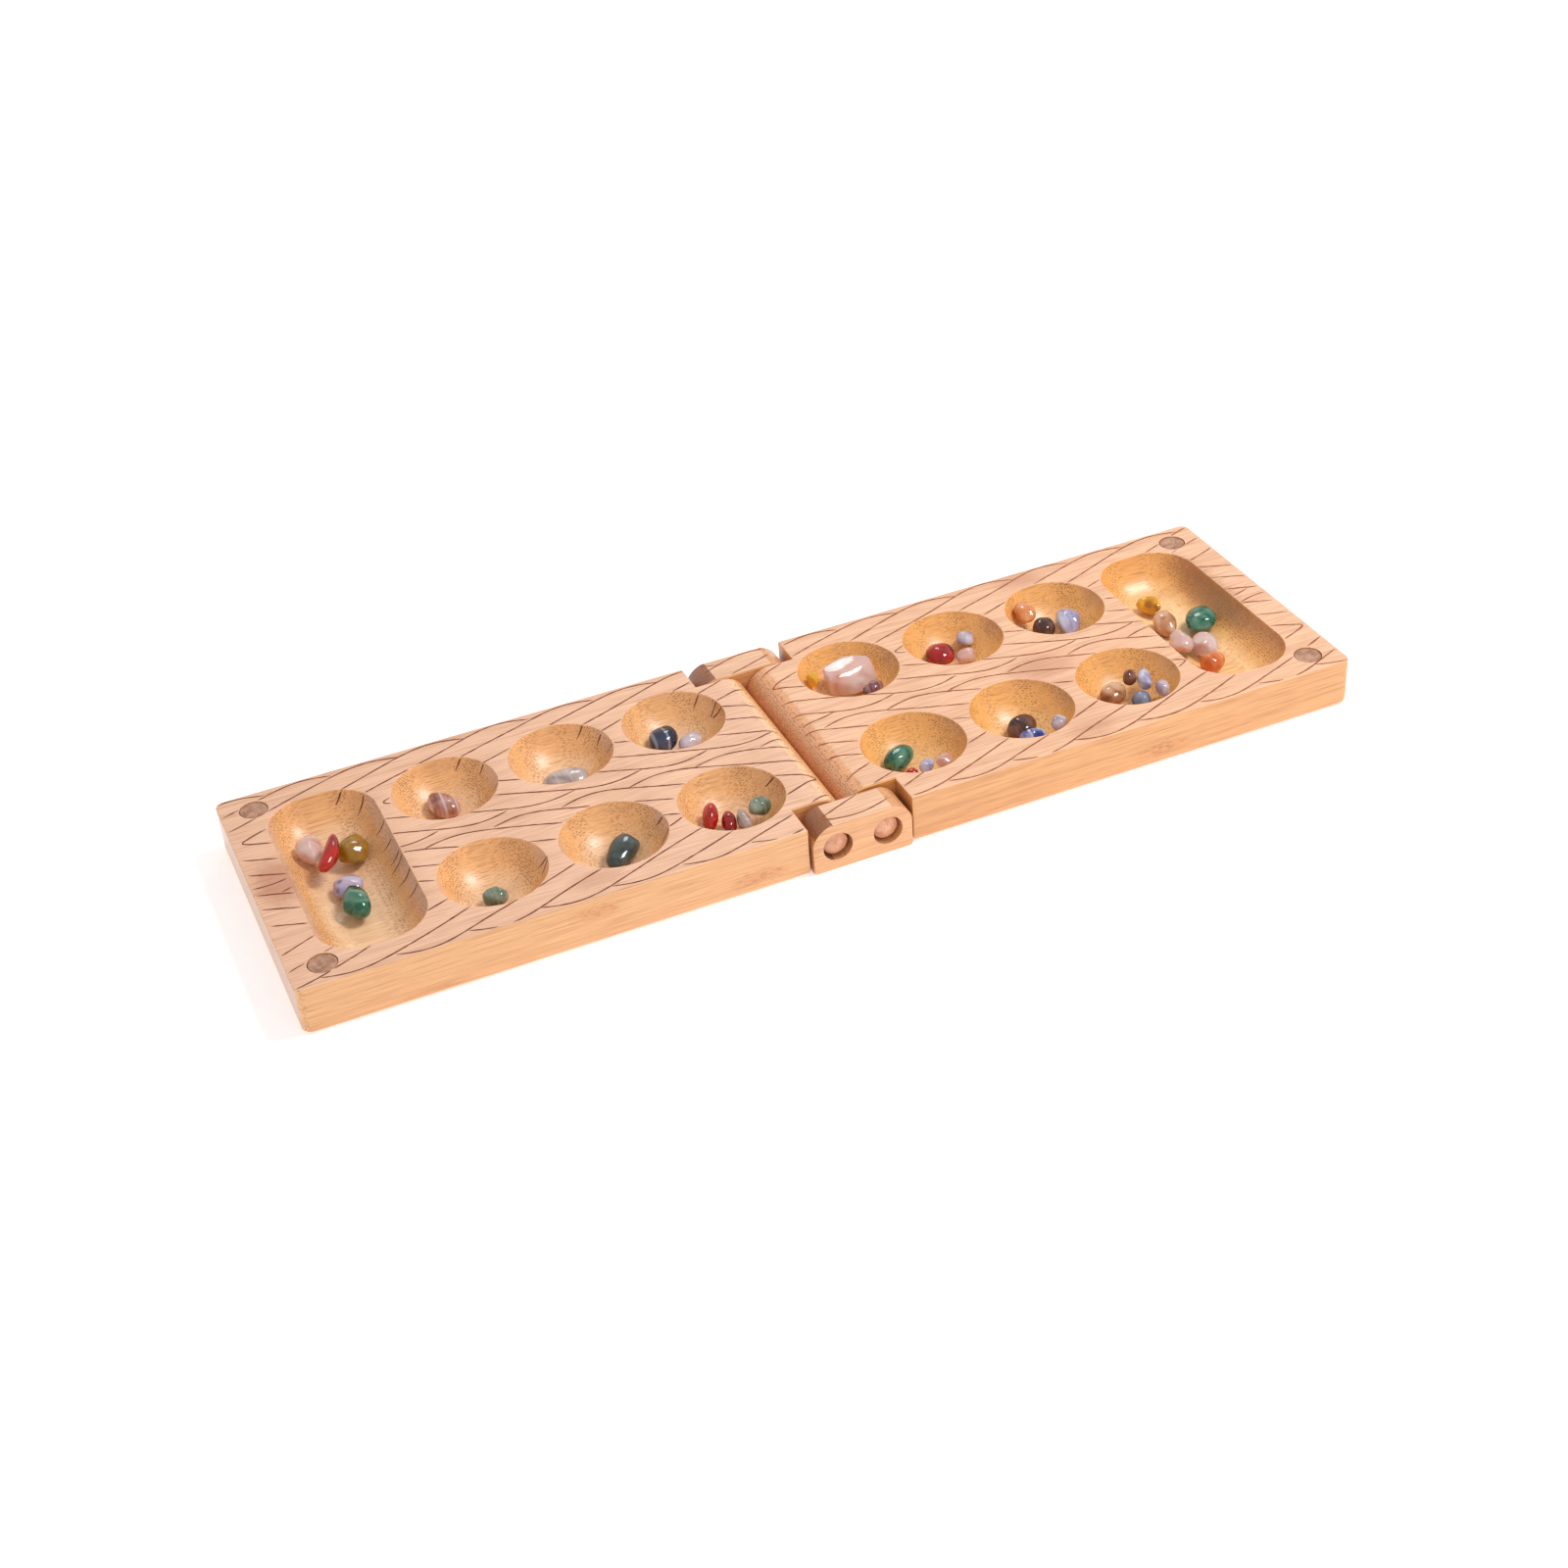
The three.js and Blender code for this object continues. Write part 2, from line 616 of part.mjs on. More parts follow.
// One half with its plugs, magnets and pegs. The left half is turned half round, so
// its back and front change places.
function halfGroup(side) {
  const isRight = side === 'right';
  const group = new THREE.Group();
  group.rotation.z = isRight ? 0 : Math.PI;
  addMesh(group, `${side}_board`, boardHalf(), bamboo);
  const plugTop = BOARD_THICKNESS - PLUG_RECESS;
  const magnetTop = plugTop - PLUG_LENGTH - FIT_GAP;
  for (const sign of [-1, 1]) {
    const row = (sign > 0) === isRight ? 'back' : 'front';
    const plug = cylinderAlongZ(
      PLUG_RADIUS, PLUG_X, sign * PLUG_Y, plugTop - PLUG_LENGTH, plugTop,
    );
    const magnet = cylinderAlongZ(
      MAGNET_RADIUS, PLUG_X, sign * PLUG_Y, magnetTop - MAGNET_THICKNESS, magnetTop,
    );
    addMesh(group, `${side}_${row}_plug`, plug, plugWood);
    addMesh(group, `${side}_${row}_magnet`, magnet, magnetSteel);
    const peg = addMesh(group, `${side}_${row}_peg`, hingePeg(), pegWood);
    peg.rotation.z = sign < 0 ? 0 : Math.PI;
    peg.position.set(PEG_X, sign * PEG_TIP, PEG_Z);
  }
  return group;
}

board.add(halfGroup('left'), halfGroup('right'));

const frontBlock = addMesh(board, 'front_link_block', linkBlock(), blockBamboo);
frontBlock.position.y = -FRONT_BLOCK_FACE;
const backBlock = addMesh(board, 'back_link_block', linkBlock(), blockBamboo);
backBlock.rotation.z = Math.PI;
backBlock.position.y = BACK_BLOCK_FACE;

board.add(
  stonesInHollow('left_store', [-STORE_X, 0], storeHollow, LEFT_STORE_STONES),
  stonesInHollow('right_store', [STORE_X, 0], storeHollow, RIGHT_STORE_STONES),
);
// On the left, pit 1 is the outermost; on the right, it is the innermost.
for (let column = 1; column <= PIT_COLUMNS.length; column += 1) {
  for (const [row, y] of [['back', PIT_ROW_Y], ['front', -PIT_ROW_Y]]) {
    const pit = `${row}_${column}`;
    const leftX = -PIT_COLUMNS[PIT_COLUMNS.length - column];
    const rightX = PIT_COLUMNS[column - 1];
    board.add(
      stonesInHollow(`left_${pit}`, [leftX, y], pitHollow, LEFT_PIT_STONES[pit]),
      stonesInHollow(`right_${pit}`, [rightX, y], pitHollow, RIGHT_PIT_STONES[pit]),
    );
  }
}

export default board;
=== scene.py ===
"""Looks of a folding bamboo mancala board with polished tumbled stones.

Lengths named _MM are in millimetres and are turned into metres where a mesh is made.
"""

import json
import math
import random
from functools import partial

import bmesh
import bpy
from mathutils import Matrix, Vector, noise


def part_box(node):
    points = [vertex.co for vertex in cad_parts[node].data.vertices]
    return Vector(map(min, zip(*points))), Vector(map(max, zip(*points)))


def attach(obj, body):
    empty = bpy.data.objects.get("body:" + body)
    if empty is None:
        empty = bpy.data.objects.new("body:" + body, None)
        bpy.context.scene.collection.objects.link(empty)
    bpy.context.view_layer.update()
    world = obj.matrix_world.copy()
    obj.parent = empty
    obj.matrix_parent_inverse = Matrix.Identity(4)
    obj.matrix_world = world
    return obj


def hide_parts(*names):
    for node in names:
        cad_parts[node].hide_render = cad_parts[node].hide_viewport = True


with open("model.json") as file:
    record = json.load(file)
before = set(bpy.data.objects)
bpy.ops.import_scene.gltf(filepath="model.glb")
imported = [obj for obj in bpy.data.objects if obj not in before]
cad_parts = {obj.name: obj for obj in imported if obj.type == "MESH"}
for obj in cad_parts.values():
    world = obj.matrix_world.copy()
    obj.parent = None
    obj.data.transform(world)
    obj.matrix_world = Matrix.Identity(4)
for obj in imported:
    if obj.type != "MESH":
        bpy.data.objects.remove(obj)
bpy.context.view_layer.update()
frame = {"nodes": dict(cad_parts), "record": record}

MM = 0.001


def box_mm(node):
    """A CAD node's lowest and highest corner, in millimetres."""
    low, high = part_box(node)
    return low / MM, high / MM


# ---- sizes

_low, _high = box_mm("right_board")
HALF_LENGTH_MM = _high.x
HALF_WIDTH_MM = _high.y
THICK_MM = _high.z
NOSE_TIP_MM = _low.x
_peg_low, _peg_high = box_mm("right_front_peg")
PEG_X_MM = (_peg_low.x + _peg_high.x) / 2
PEG_Z_MM = THICK_MM / 2
NOSE_LENGTH_MM = PEG_X_MM - NOSE_TIP_MM
PEG_HEAD_RADIUS_MM = (_peg_high.z - _peg_low.z) / 2
PEG_SHANK_RADIUS_MM = 3.1
PEG_HEAD_LENGTH_MM = 4
PEG_DOME_MM = 1
PEG_HEAD_EDGE_MM = 0.7
PEG_NECK_EDGE_MM = 0.2
PEG_TIP_EDGE_MM = 0.5
PEG_HOLE_END_MM = 29.6
COUNTERBORE_RADIUS_MM = 6.15
COUNTERBORE_DEPTH_MM = 5.8
FIT_GAP_MM = 0.35

CORNER_RADIUS_MM = 3.5
FOOT_ROUNDING_MM = 2.2
EDGE_BREAK_MM = 0.5
NOTCH_WALL_MM = 22
TONGUE_HALF_WIDTH_MM = 49.6
TONGUE_ROOT_MM = NOTCH_WALL_MM + 4
TONGUE_EDGE_MM = 0.5
BLOCK_SHOULDER_MM = 10.9
BLOCK_FOOT_MM = 0.8
BLOCK_EDGE_MM = 0.6

PIT_COLUMNS_MM = (39.4, 88.3, 137.2)
PIT_ROW_MM = 30.8
PIT_RIM_MM = 21.35
HOLLOW_DEPTH_MM = 14
FLOOR_MM = THICK_MM - HOLLOW_DEPTH_MM
PIT_BALL_MM = (PIT_RIM_MM ** 2 + HOLLOW_DEPTH_MM ** 2) / (2 * HOLLOW_DEPTH_MM)
STORE_X_MM = 186
STORE_HALF_WIDTH_MM = 21.6
STORE_HALF_LENGTH_MM = 51.8
STORE_BALL_MM = 18.5
STORE_INSET_MM = math.sqrt(STORE_BALL_MM ** 2 - (STORE_BALL_MM - HOLLOW_DEPTH_MM) ** 2)
RIM_ROUNDING_MM = 0.45

_plug_low, _plug_high = box_mm("right_back_plug")
PLUG_X_MM = (_plug_low.x + _plug_high.x) / 2
PLUG_Y_MM = (_plug_low.y + _plug_high.y) / 2
PLUG_RADIUS_MM = (_plug_high.y - _plug_low.y) / 2
PLUG_POCKET_FLOOR_MM = 12.1

# how far cutters reach past the surface that they cut, and the least that cuts cleanly
CUT_PAST_MM = 5
CLEAN_CUT_MM = 0.01

# the inner radius that closes the middle of a hollow's floor
FLOOR_MIDDLE_MM = 0.3

ROUND_STEPS = 96
SMALL_ROUND_STEPS = 64
WALL_STEPS = 20
RIM_STEPS = 5
EDGE_STEPS = 5
DOME_STEPS = 12
DISC_EDGE_STEPS = 4
NOSE_STEPS = 36
SHOULDER_STEPS = 22
SMOOTH_ANGLE = math.radians(32)


# ---- camera

CAMERA_AZIMUTH = math.radians(-21.02)
CAMERA_ELEVATION = math.radians(35.27)
CAMERA_ROLL = math.radians(-4.605)
CAMERA_TARGET = Vector((-0.00705, -0.00468, 0))
CAMERA_DISTANCE = 0.97396
CAMERA_LENS = 55.1


def make_camera():
    """The photograph's view, as fitted to the board's corners and hollows."""
    azimuth, elevation, roll = CAMERA_AZIMUTH, CAMERA_ELEVATION, CAMERA_ROLL
    back = Vector((
        math.sin(azimuth) * math.cos(elevation),
        -math.cos(azimuth) * math.cos(elevation),
        math.sin(elevation),
    ))
    level = Vector((math.cos(azimuth), math.sin(azimuth), 0))
    upright = back.cross(level)
    right = level * math.cos(roll) + upright * math.sin(roll)
    up = -level * math.sin(roll) + upright * math.cos(roll)
    camera = linked("camera", bpy.data.cameras.new("camera"))
    camera.data.lens = CAMERA_LENS
    camera.data.sensor_width = 36
    camera.data.clip_start = 0.01
    camera.matrix_world = Matrix.Translation(CAMERA_TARGET + back * CAMERA_DISTANCE) @ Matrix(
        (right, up, back)
    ).transposed().to_4x4()
    bpy.context.scene.camera = camera


# ---- building meshes

def linked(name, data):
    """A new object in the scene, with this mesh, light or camera."""
    thing = bpy.data.objects.new(name, data)
    bpy.context.scene.collection.objects.link(thing)
    return thing


def mesh_from(name, bm):
    """Turns a bmesh into a mesh as it is, and frees it."""
    mesh = bpy.data.meshes.new(name)
    bm.to_mesh(mesh)
    bm.free()
    return mesh


def shade(mesh):
    """Smooth shading, with sharp lines where the surface turns quickly."""
    for polygon in mesh.polygons:
        polygon.use_smooth = True
    mesh.set_sharp_from_angle(angle=SMOOTH_ANGLE)


def new_object(name, bm):
    """Turns a bmesh that is in millimetres into an object in metres."""
    bmesh.ops.recalc_face_normals(bm, faces=bm.faces)
    mesh = mesh_from(name, bm)
    mesh.transform(Matrix.Scale(MM, 4))
    shade(mesh)
    return linked(name, mesh)


def loft(rings):
    """A closed body through rings of points with equal counts, capped at both ends."""
    bm = bmesh.new()
    rows = [[bm.verts.new(p) for p in ring] for ring in rings]
    count = len(rows[0])
    for low, high in zip(rows, rows[1:]):
        for i in range(count):
            j = (i + 1) % count
            bm.faces.new((low[i], low[j], high[j], high[i]))
    bm.faces.new(list(reversed(rows[0])))
    bm.faces.new(rows[-1])
    return bm


def rounded_rectangle(low, high, radii, steps):
    """Corner points anticlockwise from above; radii are at +x and at -x."""
    corners = (
        (high[0], high[1], -1, -1, radii[0]),
        (low[0], high[1], 1, -1, radii[1]),
        (low[0], low[1], 1, 1, radii[1]),
        (high[0], low[1], -1, 1, radii[0]),
    )
    points = []
    for quarter, (x, y, in_x, in_y, radius) in enumerate(corners):
        for i in range(steps + 1):
            angle = (quarter + i / steps) * math.pi / 2
            points.append((
                x + in_x * radius + radius * math.cos(angle),
                y + in_y * radius + radius * math.sin(angle),
            ))
    return points


def turned(profile, steps=ROUND_STEPS):
    """A closed body turned about Z. The profile's (radius, height) points run upwards."""
    rings = []
    for radius, height in profile:
        rings.append([
            (
                radius * math.cos(2 * math.pi * i / steps),
                radius * math.sin(2 * math.pi * i / steps),
                height,
            )
            for i in range(steps)
        ])
    return loft(rings)


def joined(cutters):
    """Several separate cutters as one object."""
    bm = bmesh.new()
    for cutter in cutters:
        bm.from_mesh(cutter.data)
        bpy.data.objects.remove(cutter)
    return linked("cutters", mesh_from("cutters", bm))


def evaluated(thing):
    """The mesh that an object has after its modifiers."""
    bpy.context.view_layer.update()
    result = thing.evaluated_get(bpy.context.evaluated_depsgraph_get())
    return bpy.data.meshes.new_from_object(result)


def boolean(thing, cutter, operation):
    """Joins or cuts with another object, and removes that object."""
    modifier = thing.modifiers.new("cut", "BOOLEAN")
    modifier.object = cutter
    modifier.operation = operation
    modifier.solver = "EXACT"
    mesh = evaluated(thing)
    thing.modifiers.clear()
    thing.data = mesh
    bpy.data.objects.remove(cutter)


# ---- the hollows

def wall_profile(ball_radius, rim_radius):
    """(radius, height) up a hollow's wall, with a softened rim, out past the top face."""
    centre = FLOOR_MM + ball_radius
    rim_angle = math.asin(rim_radius / ball_radius)
    slope = rim_angle * (1 - RIM_ROUNDING_MM / (ball_radius * rim_angle))
    wall = []
    for i in range(1, WALL_STEPS + 1):
        angle = slope * i / WALL_STEPS
        wall.append((ball_radius * math.sin(angle), centre - ball_radius * math.cos(angle)))
    # the softened edge turns from the wall's slope to level
    radius, base = wall[-1]
    height = base
    reach = (THICK_MM - base) / math.sin(slope)
    rim = []
    for i in range(1, RIM_STEPS + 1):
        tilt = slope * (1 - i / RIM_STEPS)
        radius += reach / RIM_STEPS * math.cos(tilt)
        height += reach / RIM_STEPS * math.sin(tilt + slope / (2 * RIM_STEPS))
        rim.append((radius, height))
    stretch = (THICK_MM + CLEAN_CUT_MM - base) / (height - base)
    rim = [(r, base + (h - base) * stretch) for r, h in rim]
    return wall + rim + [(radius, THICK_MM + CUT_PAST_MM)]


def pit_cutter(x, y):
    """A round pit, as part of a ball."""
    profile = [(FLOOR_MIDDLE_MM, FLOOR_MM)] + wall_profile(PIT_BALL_MM, PIT_RIM_MM)
    bm = turned(profile)
    bmesh.ops.translate(bm, vec=(x, y, 0), verts=bm.verts)
    return new_object("cutter", bm)


def store_cutter(x):
    """A long store: a flat floor whose outline is offset up the wall, with ball corners."""
    flat_x = STORE_HALF_WIDTH_MM - STORE_INSET_MM
    flat_y = STORE_HALF_LENGTH_MM - STORE_INSET_MM
    profile = [(FLOOR_MIDDLE_MM, FLOOR_MM)] + wall_profile(STORE_BALL_MM, STORE_INSET_MM)
    rings = []
    for offset, height in profile:
        outline = rounded_rectangle(
            (x - flat_x - offset, -flat_y - offset), (x + flat_x + offset, flat_y + offset),
            (offset, offset), ROUND_STEPS // 4,
        )
        rings.append([(px, py, height) for px, py in outline])
    return new_object("cutter", loft(rings))


def ball_depth(distance, ball_radius):
    """The depth of a ball-shaped wall at a distance from the middle of its floor."""
    rise = ball_radius - math.sqrt(ball_radius ** 2 - distance ** 2)
    return HOLLOW_DEPTH_MM - rise


def hollow_depth(x, y):
    """How far the surface lies below the playing face at a point on it, in millimetres."""
    u = abs(x)
    store_x = max(abs(u - STORE_X_MM) - (STORE_HALF_WIDTH_MM - STORE_INSET_MM), 0)
    store_y = max(abs(y) - (STORE_HALF_LENGTH_MM - STORE_INSET_MM), 0)
    distance = math.hypot(store_x, store_y)
    if distance < STORE_INSET_MM:
        return ball_depth(distance, STORE_BALL_MM)
    for column in PIT_COLUMNS_MM:
        distance = math.hypot(u - column, abs(y) - PIT_ROW_MM)
        if distance < PIT_RIM_MM:
            return ball_depth(distance, PIT_BALL_MM)
    return 0


# ---- the board

def cylinder_cutter(radius, start, end, axis):
    """A round cutter from point start, its length along an axis: 'Y' or 'Z'."""
    length = (Vector(end) - Vector(start)).length
    bm = turned([(radius, 0), (radius, length)], SMALL_ROUND_STEPS)
    if axis == "Y":
        turn = Matrix.Rotation(math.radians(-90 if end[1] > start[1] else 90), 4, "X")
        bmesh.ops.transform(bm, matrix=turn, verts=bm.verts)
    bmesh.ops.translate(bm, vec=start, verts=bm.verts)
    return new_object("cutter", bm)


def quarter_turn(steps):
    """Angles from 0 to a right angle."""
    return [math.pi / 2 * i / steps for i in range(steps + 1)]


def softened_levels():
    """(inset, height) up the board's outer wall, with its foot and top edges rounded."""
    levels = []
    for angle in quarter_turn(EDGE_STEPS):
        levels.append((
            FOOT_ROUNDING_MM * (1 - math.sin(angle)),
            FOOT_ROUNDING_MM * (1 - math.cos(angle)),
        ))
    for angle in quarter_turn(EDGE_STEPS):
        levels.append((
            EDGE_BREAK_MM * (1 - math.cos(angle)),
            THICK_MM - EDGE_BREAK_MM * (1 - math.sin(angle)),
        ))
    return levels


def tongue_outline():
    """The tongue's section in XZ, with a fully rounded nose."""
    points = [(TONGUE_ROOT_MM, THICK_MM)]
    for i in range(NOSE_STEPS + 1):
        angle = math.pi / 2 + math.pi * i / NOSE_STEPS
        points.append((
            PEG_X_MM + NOSE_LENGTH_MM * math.cos(angle),
            PEG_Z_MM + THICK_MM / 2 * math.sin(angle),
        ))
    points.append((TONGUE_ROOT_MM, 0))
    return points


def make_tongue():
    """The round-nosed bar between the link blocks, with chamfered ends."""
    rows = []
    for inset, y in (
        (TONGUE_EDGE_MM, -TONGUE_HALF_WIDTH_MM),
        (0, -TONGUE_HALF_WIDTH_MM + TONGUE_EDGE_MM),
        (0, TONGUE_HALF_WIDTH_MM - TONGUE_EDGE_MM),
        (TONGUE_EDGE_MM, TONGUE_HALF_WIDTH_MM),
    ):
        shrink = 1 - inset / PEG_Z_MM
        rows.append([
            (
                PEG_X_MM + (x - PEG_X_MM) * (shrink if x < PEG_X_MM else 1), y,
                PEG_Z_MM + (z - PEG_Z_MM) * shrink,
            )
            for x, z in tongue_outline()
        ])
    return new_object("tongue", loft(rows))


def make_half(name):
    """The right-hand board half."""
    rings = []
    for inset, height in softened_levels():
        outline = rounded_rectangle(
            (NOTCH_WALL_MM + inset, -HALF_WIDTH_MM + inset),
            (HALF_LENGTH_MM - inset, HALF_WIDTH_MM - inset),
            (CORNER_RADIUS_MM, EDGE_BREAK_MM), 8,
        )
        rings.append([(x, y, height) for x, y in outline])
    half = new_object(name, loft(rings))
    boolean(half, make_tongue(), "UNION")
    cutters = [store_cutter(STORE_X_MM)]
    for side in (-1, 1):
        cutters += [pit_cutter(column, side * PIT_ROW_MM) for column in PIT_COLUMNS_MM]
        cutters.append(cylinder_cutter(
            PEG_SHANK_RADIUS_MM + FIT_GAP_MM, (PEG_X_MM, side * PEG_HOLE_END_MM, PEG_Z_MM),
            (PEG_X_MM, side * (HALF_WIDTH_MM + CUT_PAST_MM), PEG_Z_MM), "Y",
        ))
        cutters.append(cylinder_cutter(
            PLUG_RADIUS_MM + FIT_GAP_MM, (PLUG_X_MM, side * PLUG_Y_MM, PLUG_POCKET_FLOOR_MM),
            (PLUG_X_MM, side * PLUG_Y_MM, THICK_MM + CUT_PAST_MM), "Z",
        ))
    boolean(half, joined(cutters), "DIFFERENCE")
    shade(half.data)
    return half


def block_outline(half):
    """A link block's section in XZ: a flat foot and two rounded shoulders."""
    foot = BLOCK_FOOT_MM
    first = math.acos((half - PEG_X_MM) / BLOCK_SHOULDER_MM)
    sweep = math.pi / 2 - 2 * first
    shoulder = []
    for i in range(SHOULDER_STEPS + 1):
        angle = first + sweep * i / SHOULDER_STEPS
        shoulder.append((
            PEG_X_MM + BLOCK_SHOULDER_MM * math.cos(angle),
            min(PEG_Z_MM + BLOCK_SHOULDER_MM * math.sin(angle), THICK_MM),
        ))
    mirrored = [(-x, z) for x, z in reversed(shoulder)]
    foot_right = [(-half + foot, 0), (half - foot, 0), (half, foot)]
    return foot_right + shoulder + mirrored + [(-half, foot)]


def make_block(name, node, face_sign):
    """A link block whose outer face looks along face_sign * Y."""
    low, high = box_mm(node)
    half = high.x
    outer = high.y if face_sign > 0 else low.y
    inner = low.y if face_sign > 0 else high.y
    rows = []
    edge = face_sign * BLOCK_EDGE_MM
    outline = block_outline(half)
    for inset, y in (
        (BLOCK_EDGE_MM, outer), (BLOCK_EDGE_MM * 0.3, outer - edge * 0.3),
        (0, outer - edge), (0, inner + edge), (BLOCK_EDGE_MM, inner),
    ):
        rows.append([
            (x * (1 - inset / half), y, PEG_Z_MM + (z - PEG_Z_MM) * (1 - inset / PEG_Z_MM))
            for x, z in outline
        ])
    block = new_object(name, loft(rows))
    past = face_sign * CUT_PAST_MM
    for x in (-PEG_X_MM, PEG_X_MM):
        boolean(block, cylinder_cutter(
            PEG_SHANK_RADIUS_MM + FIT_GAP_MM,
            (x, inner - past, PEG_Z_MM), (x, outer + past, PEG_Z_MM), "Y",
        ), "DIFFERENCE")
        boolean(block, cylinder_cutter(
            COUNTERBORE_RADIUS_MM,
            (x, outer - face_sign * COUNTERBORE_DEPTH_MM, PEG_Z_MM),
            (x, outer + past, PEG_Z_MM), "Y",
        ), "DIFFERENCE")
    shade(block.data)
    return block


def make_peg(name, node):
    """A headed peg with a low dome, its head outwards along Y."""
    low, high = box_mm(node)
    middle = (low + high) / 2
    length = high.y - low.y
    side = 1 if middle.y > 0 else -1
    neck = length - PEG_HEAD_LENGTH_MM
    shank, head = PEG_SHANK_RADIUS_MM, PEG_HEAD_RADIUS_MM
    profile = [(shank - PEG_TIP_EDGE_MM, 0), (shank, PEG_TIP_EDGE_MM), (shank, neck)]
    profile += [(head - PEG_NECK_EDGE_MM, neck), (head, neck + PEG_NECK_EDGE_MM)]
    wall_top = length - PEG_DOME_MM
    edge = PEG_HEAD_EDGE_MM
    for angle in quarter_turn(EDGE_STEPS):
        profile.append((
            head - edge * (1 - math.cos(angle)), wall_top - edge * 0.6 * (1 - math.sin(angle)),
        ))
    # the dome ends in a small flat, half a step wide
    for i in range(1, DOME_STEPS + 1):
        share = 1 - i / (DOME_STEPS + 0.5)
        profile.append(((head - edge) * share, wall_top + PEG_DOME_MM * (1 - share ** 2)))
    bm = turned(profile, SMALL_ROUND_STEPS)
    turn = Matrix.Rotation(math.radians(-90 * side), 4, "X")
    bmesh.ops.transform(bm, matrix=turn, verts=bm.verts)
    start = low.y if side > 0 else high.y
    bmesh.ops.translate(bm, vec=(middle.x, start, middle.z), verts=bm.verts)
    return new_object(name, bm)


def make_disc(name, node, edge):
    """A short round piece with softened edges that fills a CAD node's box."""
    low, high = box_mm(node)
    radius = (high.y - low.y) / 2
    middle = (low + high) / 2
    profile = [(radius - edge, low.z), (radius, low.z + edge)]
    for angle in quarter_turn(DISC_EDGE_STEPS):
        profile.append((
            radius - edge * (1 - math.cos(angle)), high.z - edge * (1 - math.sin(angle)),
        ))
    profile += [((radius - edge) * share, high.z) for share in (0.66, 0.33, 0.05)]
    bm = turned(profile, SMALL_ROUND_STEPS)
    bmesh.ops.translate(bm, vec=(middle.x, middle.y, 0), verts=bm.verts)
    return new_object(name, bm)


# ---- burnt line work

LINE_PITCH_MM = 28
LINE_LIFT_MM = 0.04
LINE_STEP_MM = 0.7
LINE_MARGIN_MM = 0.9
LINE_WAVER_MM = 0.35
HAIRPIN_NOSE_MM = 1.4
HAIRPINS = range(-14, 15)
ARM_STEPS = 70
ARC_STEPS = 28

# a run of fewer points than this is left out
SHORTEST_RUN = 4

# how far round the tongue's nose the lines reach, as a share of its length
NOSE_LINE_SHARE = 0.62

# how deep the left half's lines run down a wall
LEFT_PIT_TICK_MM = 6
LEFT_STORE_TICK_MM = 9

LEFT_LINE_WIDTH_MM = 0.85
RIGHT_LINE_WIDTH_MM = 0.82
BLOCK_LINE_WIDTH_MM = 0.8


class LineRow:
    """Nested hairpins with a row of low arcs along both of their sides.

    The tips lie LINE_PITCH_MM apart at tip_y. From there the arms run in the direction
    1 or -1 along X for the reach, spreading to upper_y and to lower_y.
    """

    def __init__(self, tip_x, tip_y, direction, reach, upper_y, lower_y, arc_height):
        self.tip = (tip_x, tip_y)
        self.direction = direction
        self.reach = reach
        self.ends = (upper_y - tip_y, lower_y - tip_y)
        self.arc_height = arc_height

    def curve(self, number, side):
        """One arm from the hairpin's tip, and the arc that it runs into."""
        end = self.ends[side]
        nose = HAIRPIN_NOSE_MM
        slope = (math.hypot(end, nose) - nose) / self.reach
        start_x = self.tip[0] + number * LINE_PITCH_MM
        points = []
        for i in range(ARM_STEPS + 1):
            rise = end * (i / ARM_STEPS) ** 1.3
            run = (math.hypot(rise, nose) - nose) / slope
            points.append((start_x + self.direction * run, self.tip[1] + rise))
        last_x, last_y = points[-1]
        bulge = math.copysign(self.arc_height, end)
        for i in range(1, ARC_STEPS + 1):
            points.append((
                last_x + self.direction * LINE_PITCH_MM * i / ARC_STEPS,
                last_y + bulge * math.sin(math.pi * i / ARC_STEPS),
            ))
        return [
            (
                x + LINE_WAVER_MM * math.sin(y * 0.21 + number),
                y + LINE_WAVER_MM * math.sin(x * 0.11 + number * 1.7),
            )
            for x, y in points
        ]

    def curves(self):
        for number in HAIRPINS:
            for side in (0, 1):
                yield self.curve(number, side)


BACK_ROW = LineRow(6, 33, 1, 71.3, 60.6, 4.3, 2.9)
FRONT_ROW = LineRow(24, -32.4, -1, 69, -5, -60.9, 3)


def downhill(x, y):
    """The level direction in which a hollow's wall goes down, as a unit vector."""
    step = 0.3
    slope = Vector((
        hollow_depth(x + step, y) - hollow_depth(x - step, y),
        hollow_depth(x, y + step) - hollow_depth(x, y - step),
    ))
    return slope.normalized() if slope.length > 0 else slope


def surface_height(x, y, along=None, pit_tick=0, store_tick=0):
    """The playing face's height at a point, or None where no line is burnt.

    A line that runs along (a unit vector) is burnt down a wall to the tick's depth.
    """
    u = abs(x)
    if u > HALF_LENGTH_MM - LINE_MARGIN_MM or abs(y) > HALF_WIDTH_MM - LINE_MARGIN_MM:
        return None
    if math.hypot(u - PLUG_X_MM, abs(y) - PLUG_Y_MM) < PLUG_RADIUS_MM + FIT_GAP_MM + 0.2:
        return None
    if abs(y) > TONGUE_HALF_WIDTH_MM - 0.6 and u < NOTCH_WALL_MM + 0.6:
        return None
    if u < PEG_X_MM:
        share = (PEG_X_MM - u) / NOSE_LENGTH_MM
        if share > NOSE_LINE_SHARE:
            return None
        return PEG_Z_MM + THICK_MM / 2 * math.sqrt(1 - share ** 2)
    depth = hollow_depth(x, y)
    if depth > 0:
        if depth > (store_tick if u > STORE_X_MM - STORE_HALF_WIDTH_MM - 1 else pit_tick):
            return None
        # the burn runs on down only the back and right-hand walls
        down = downhill(x, y)
        if down.x + down.y > -0.35 or (along and abs(down.dot(along)) < 0.6):
            return None
    return THICK_MM - depth


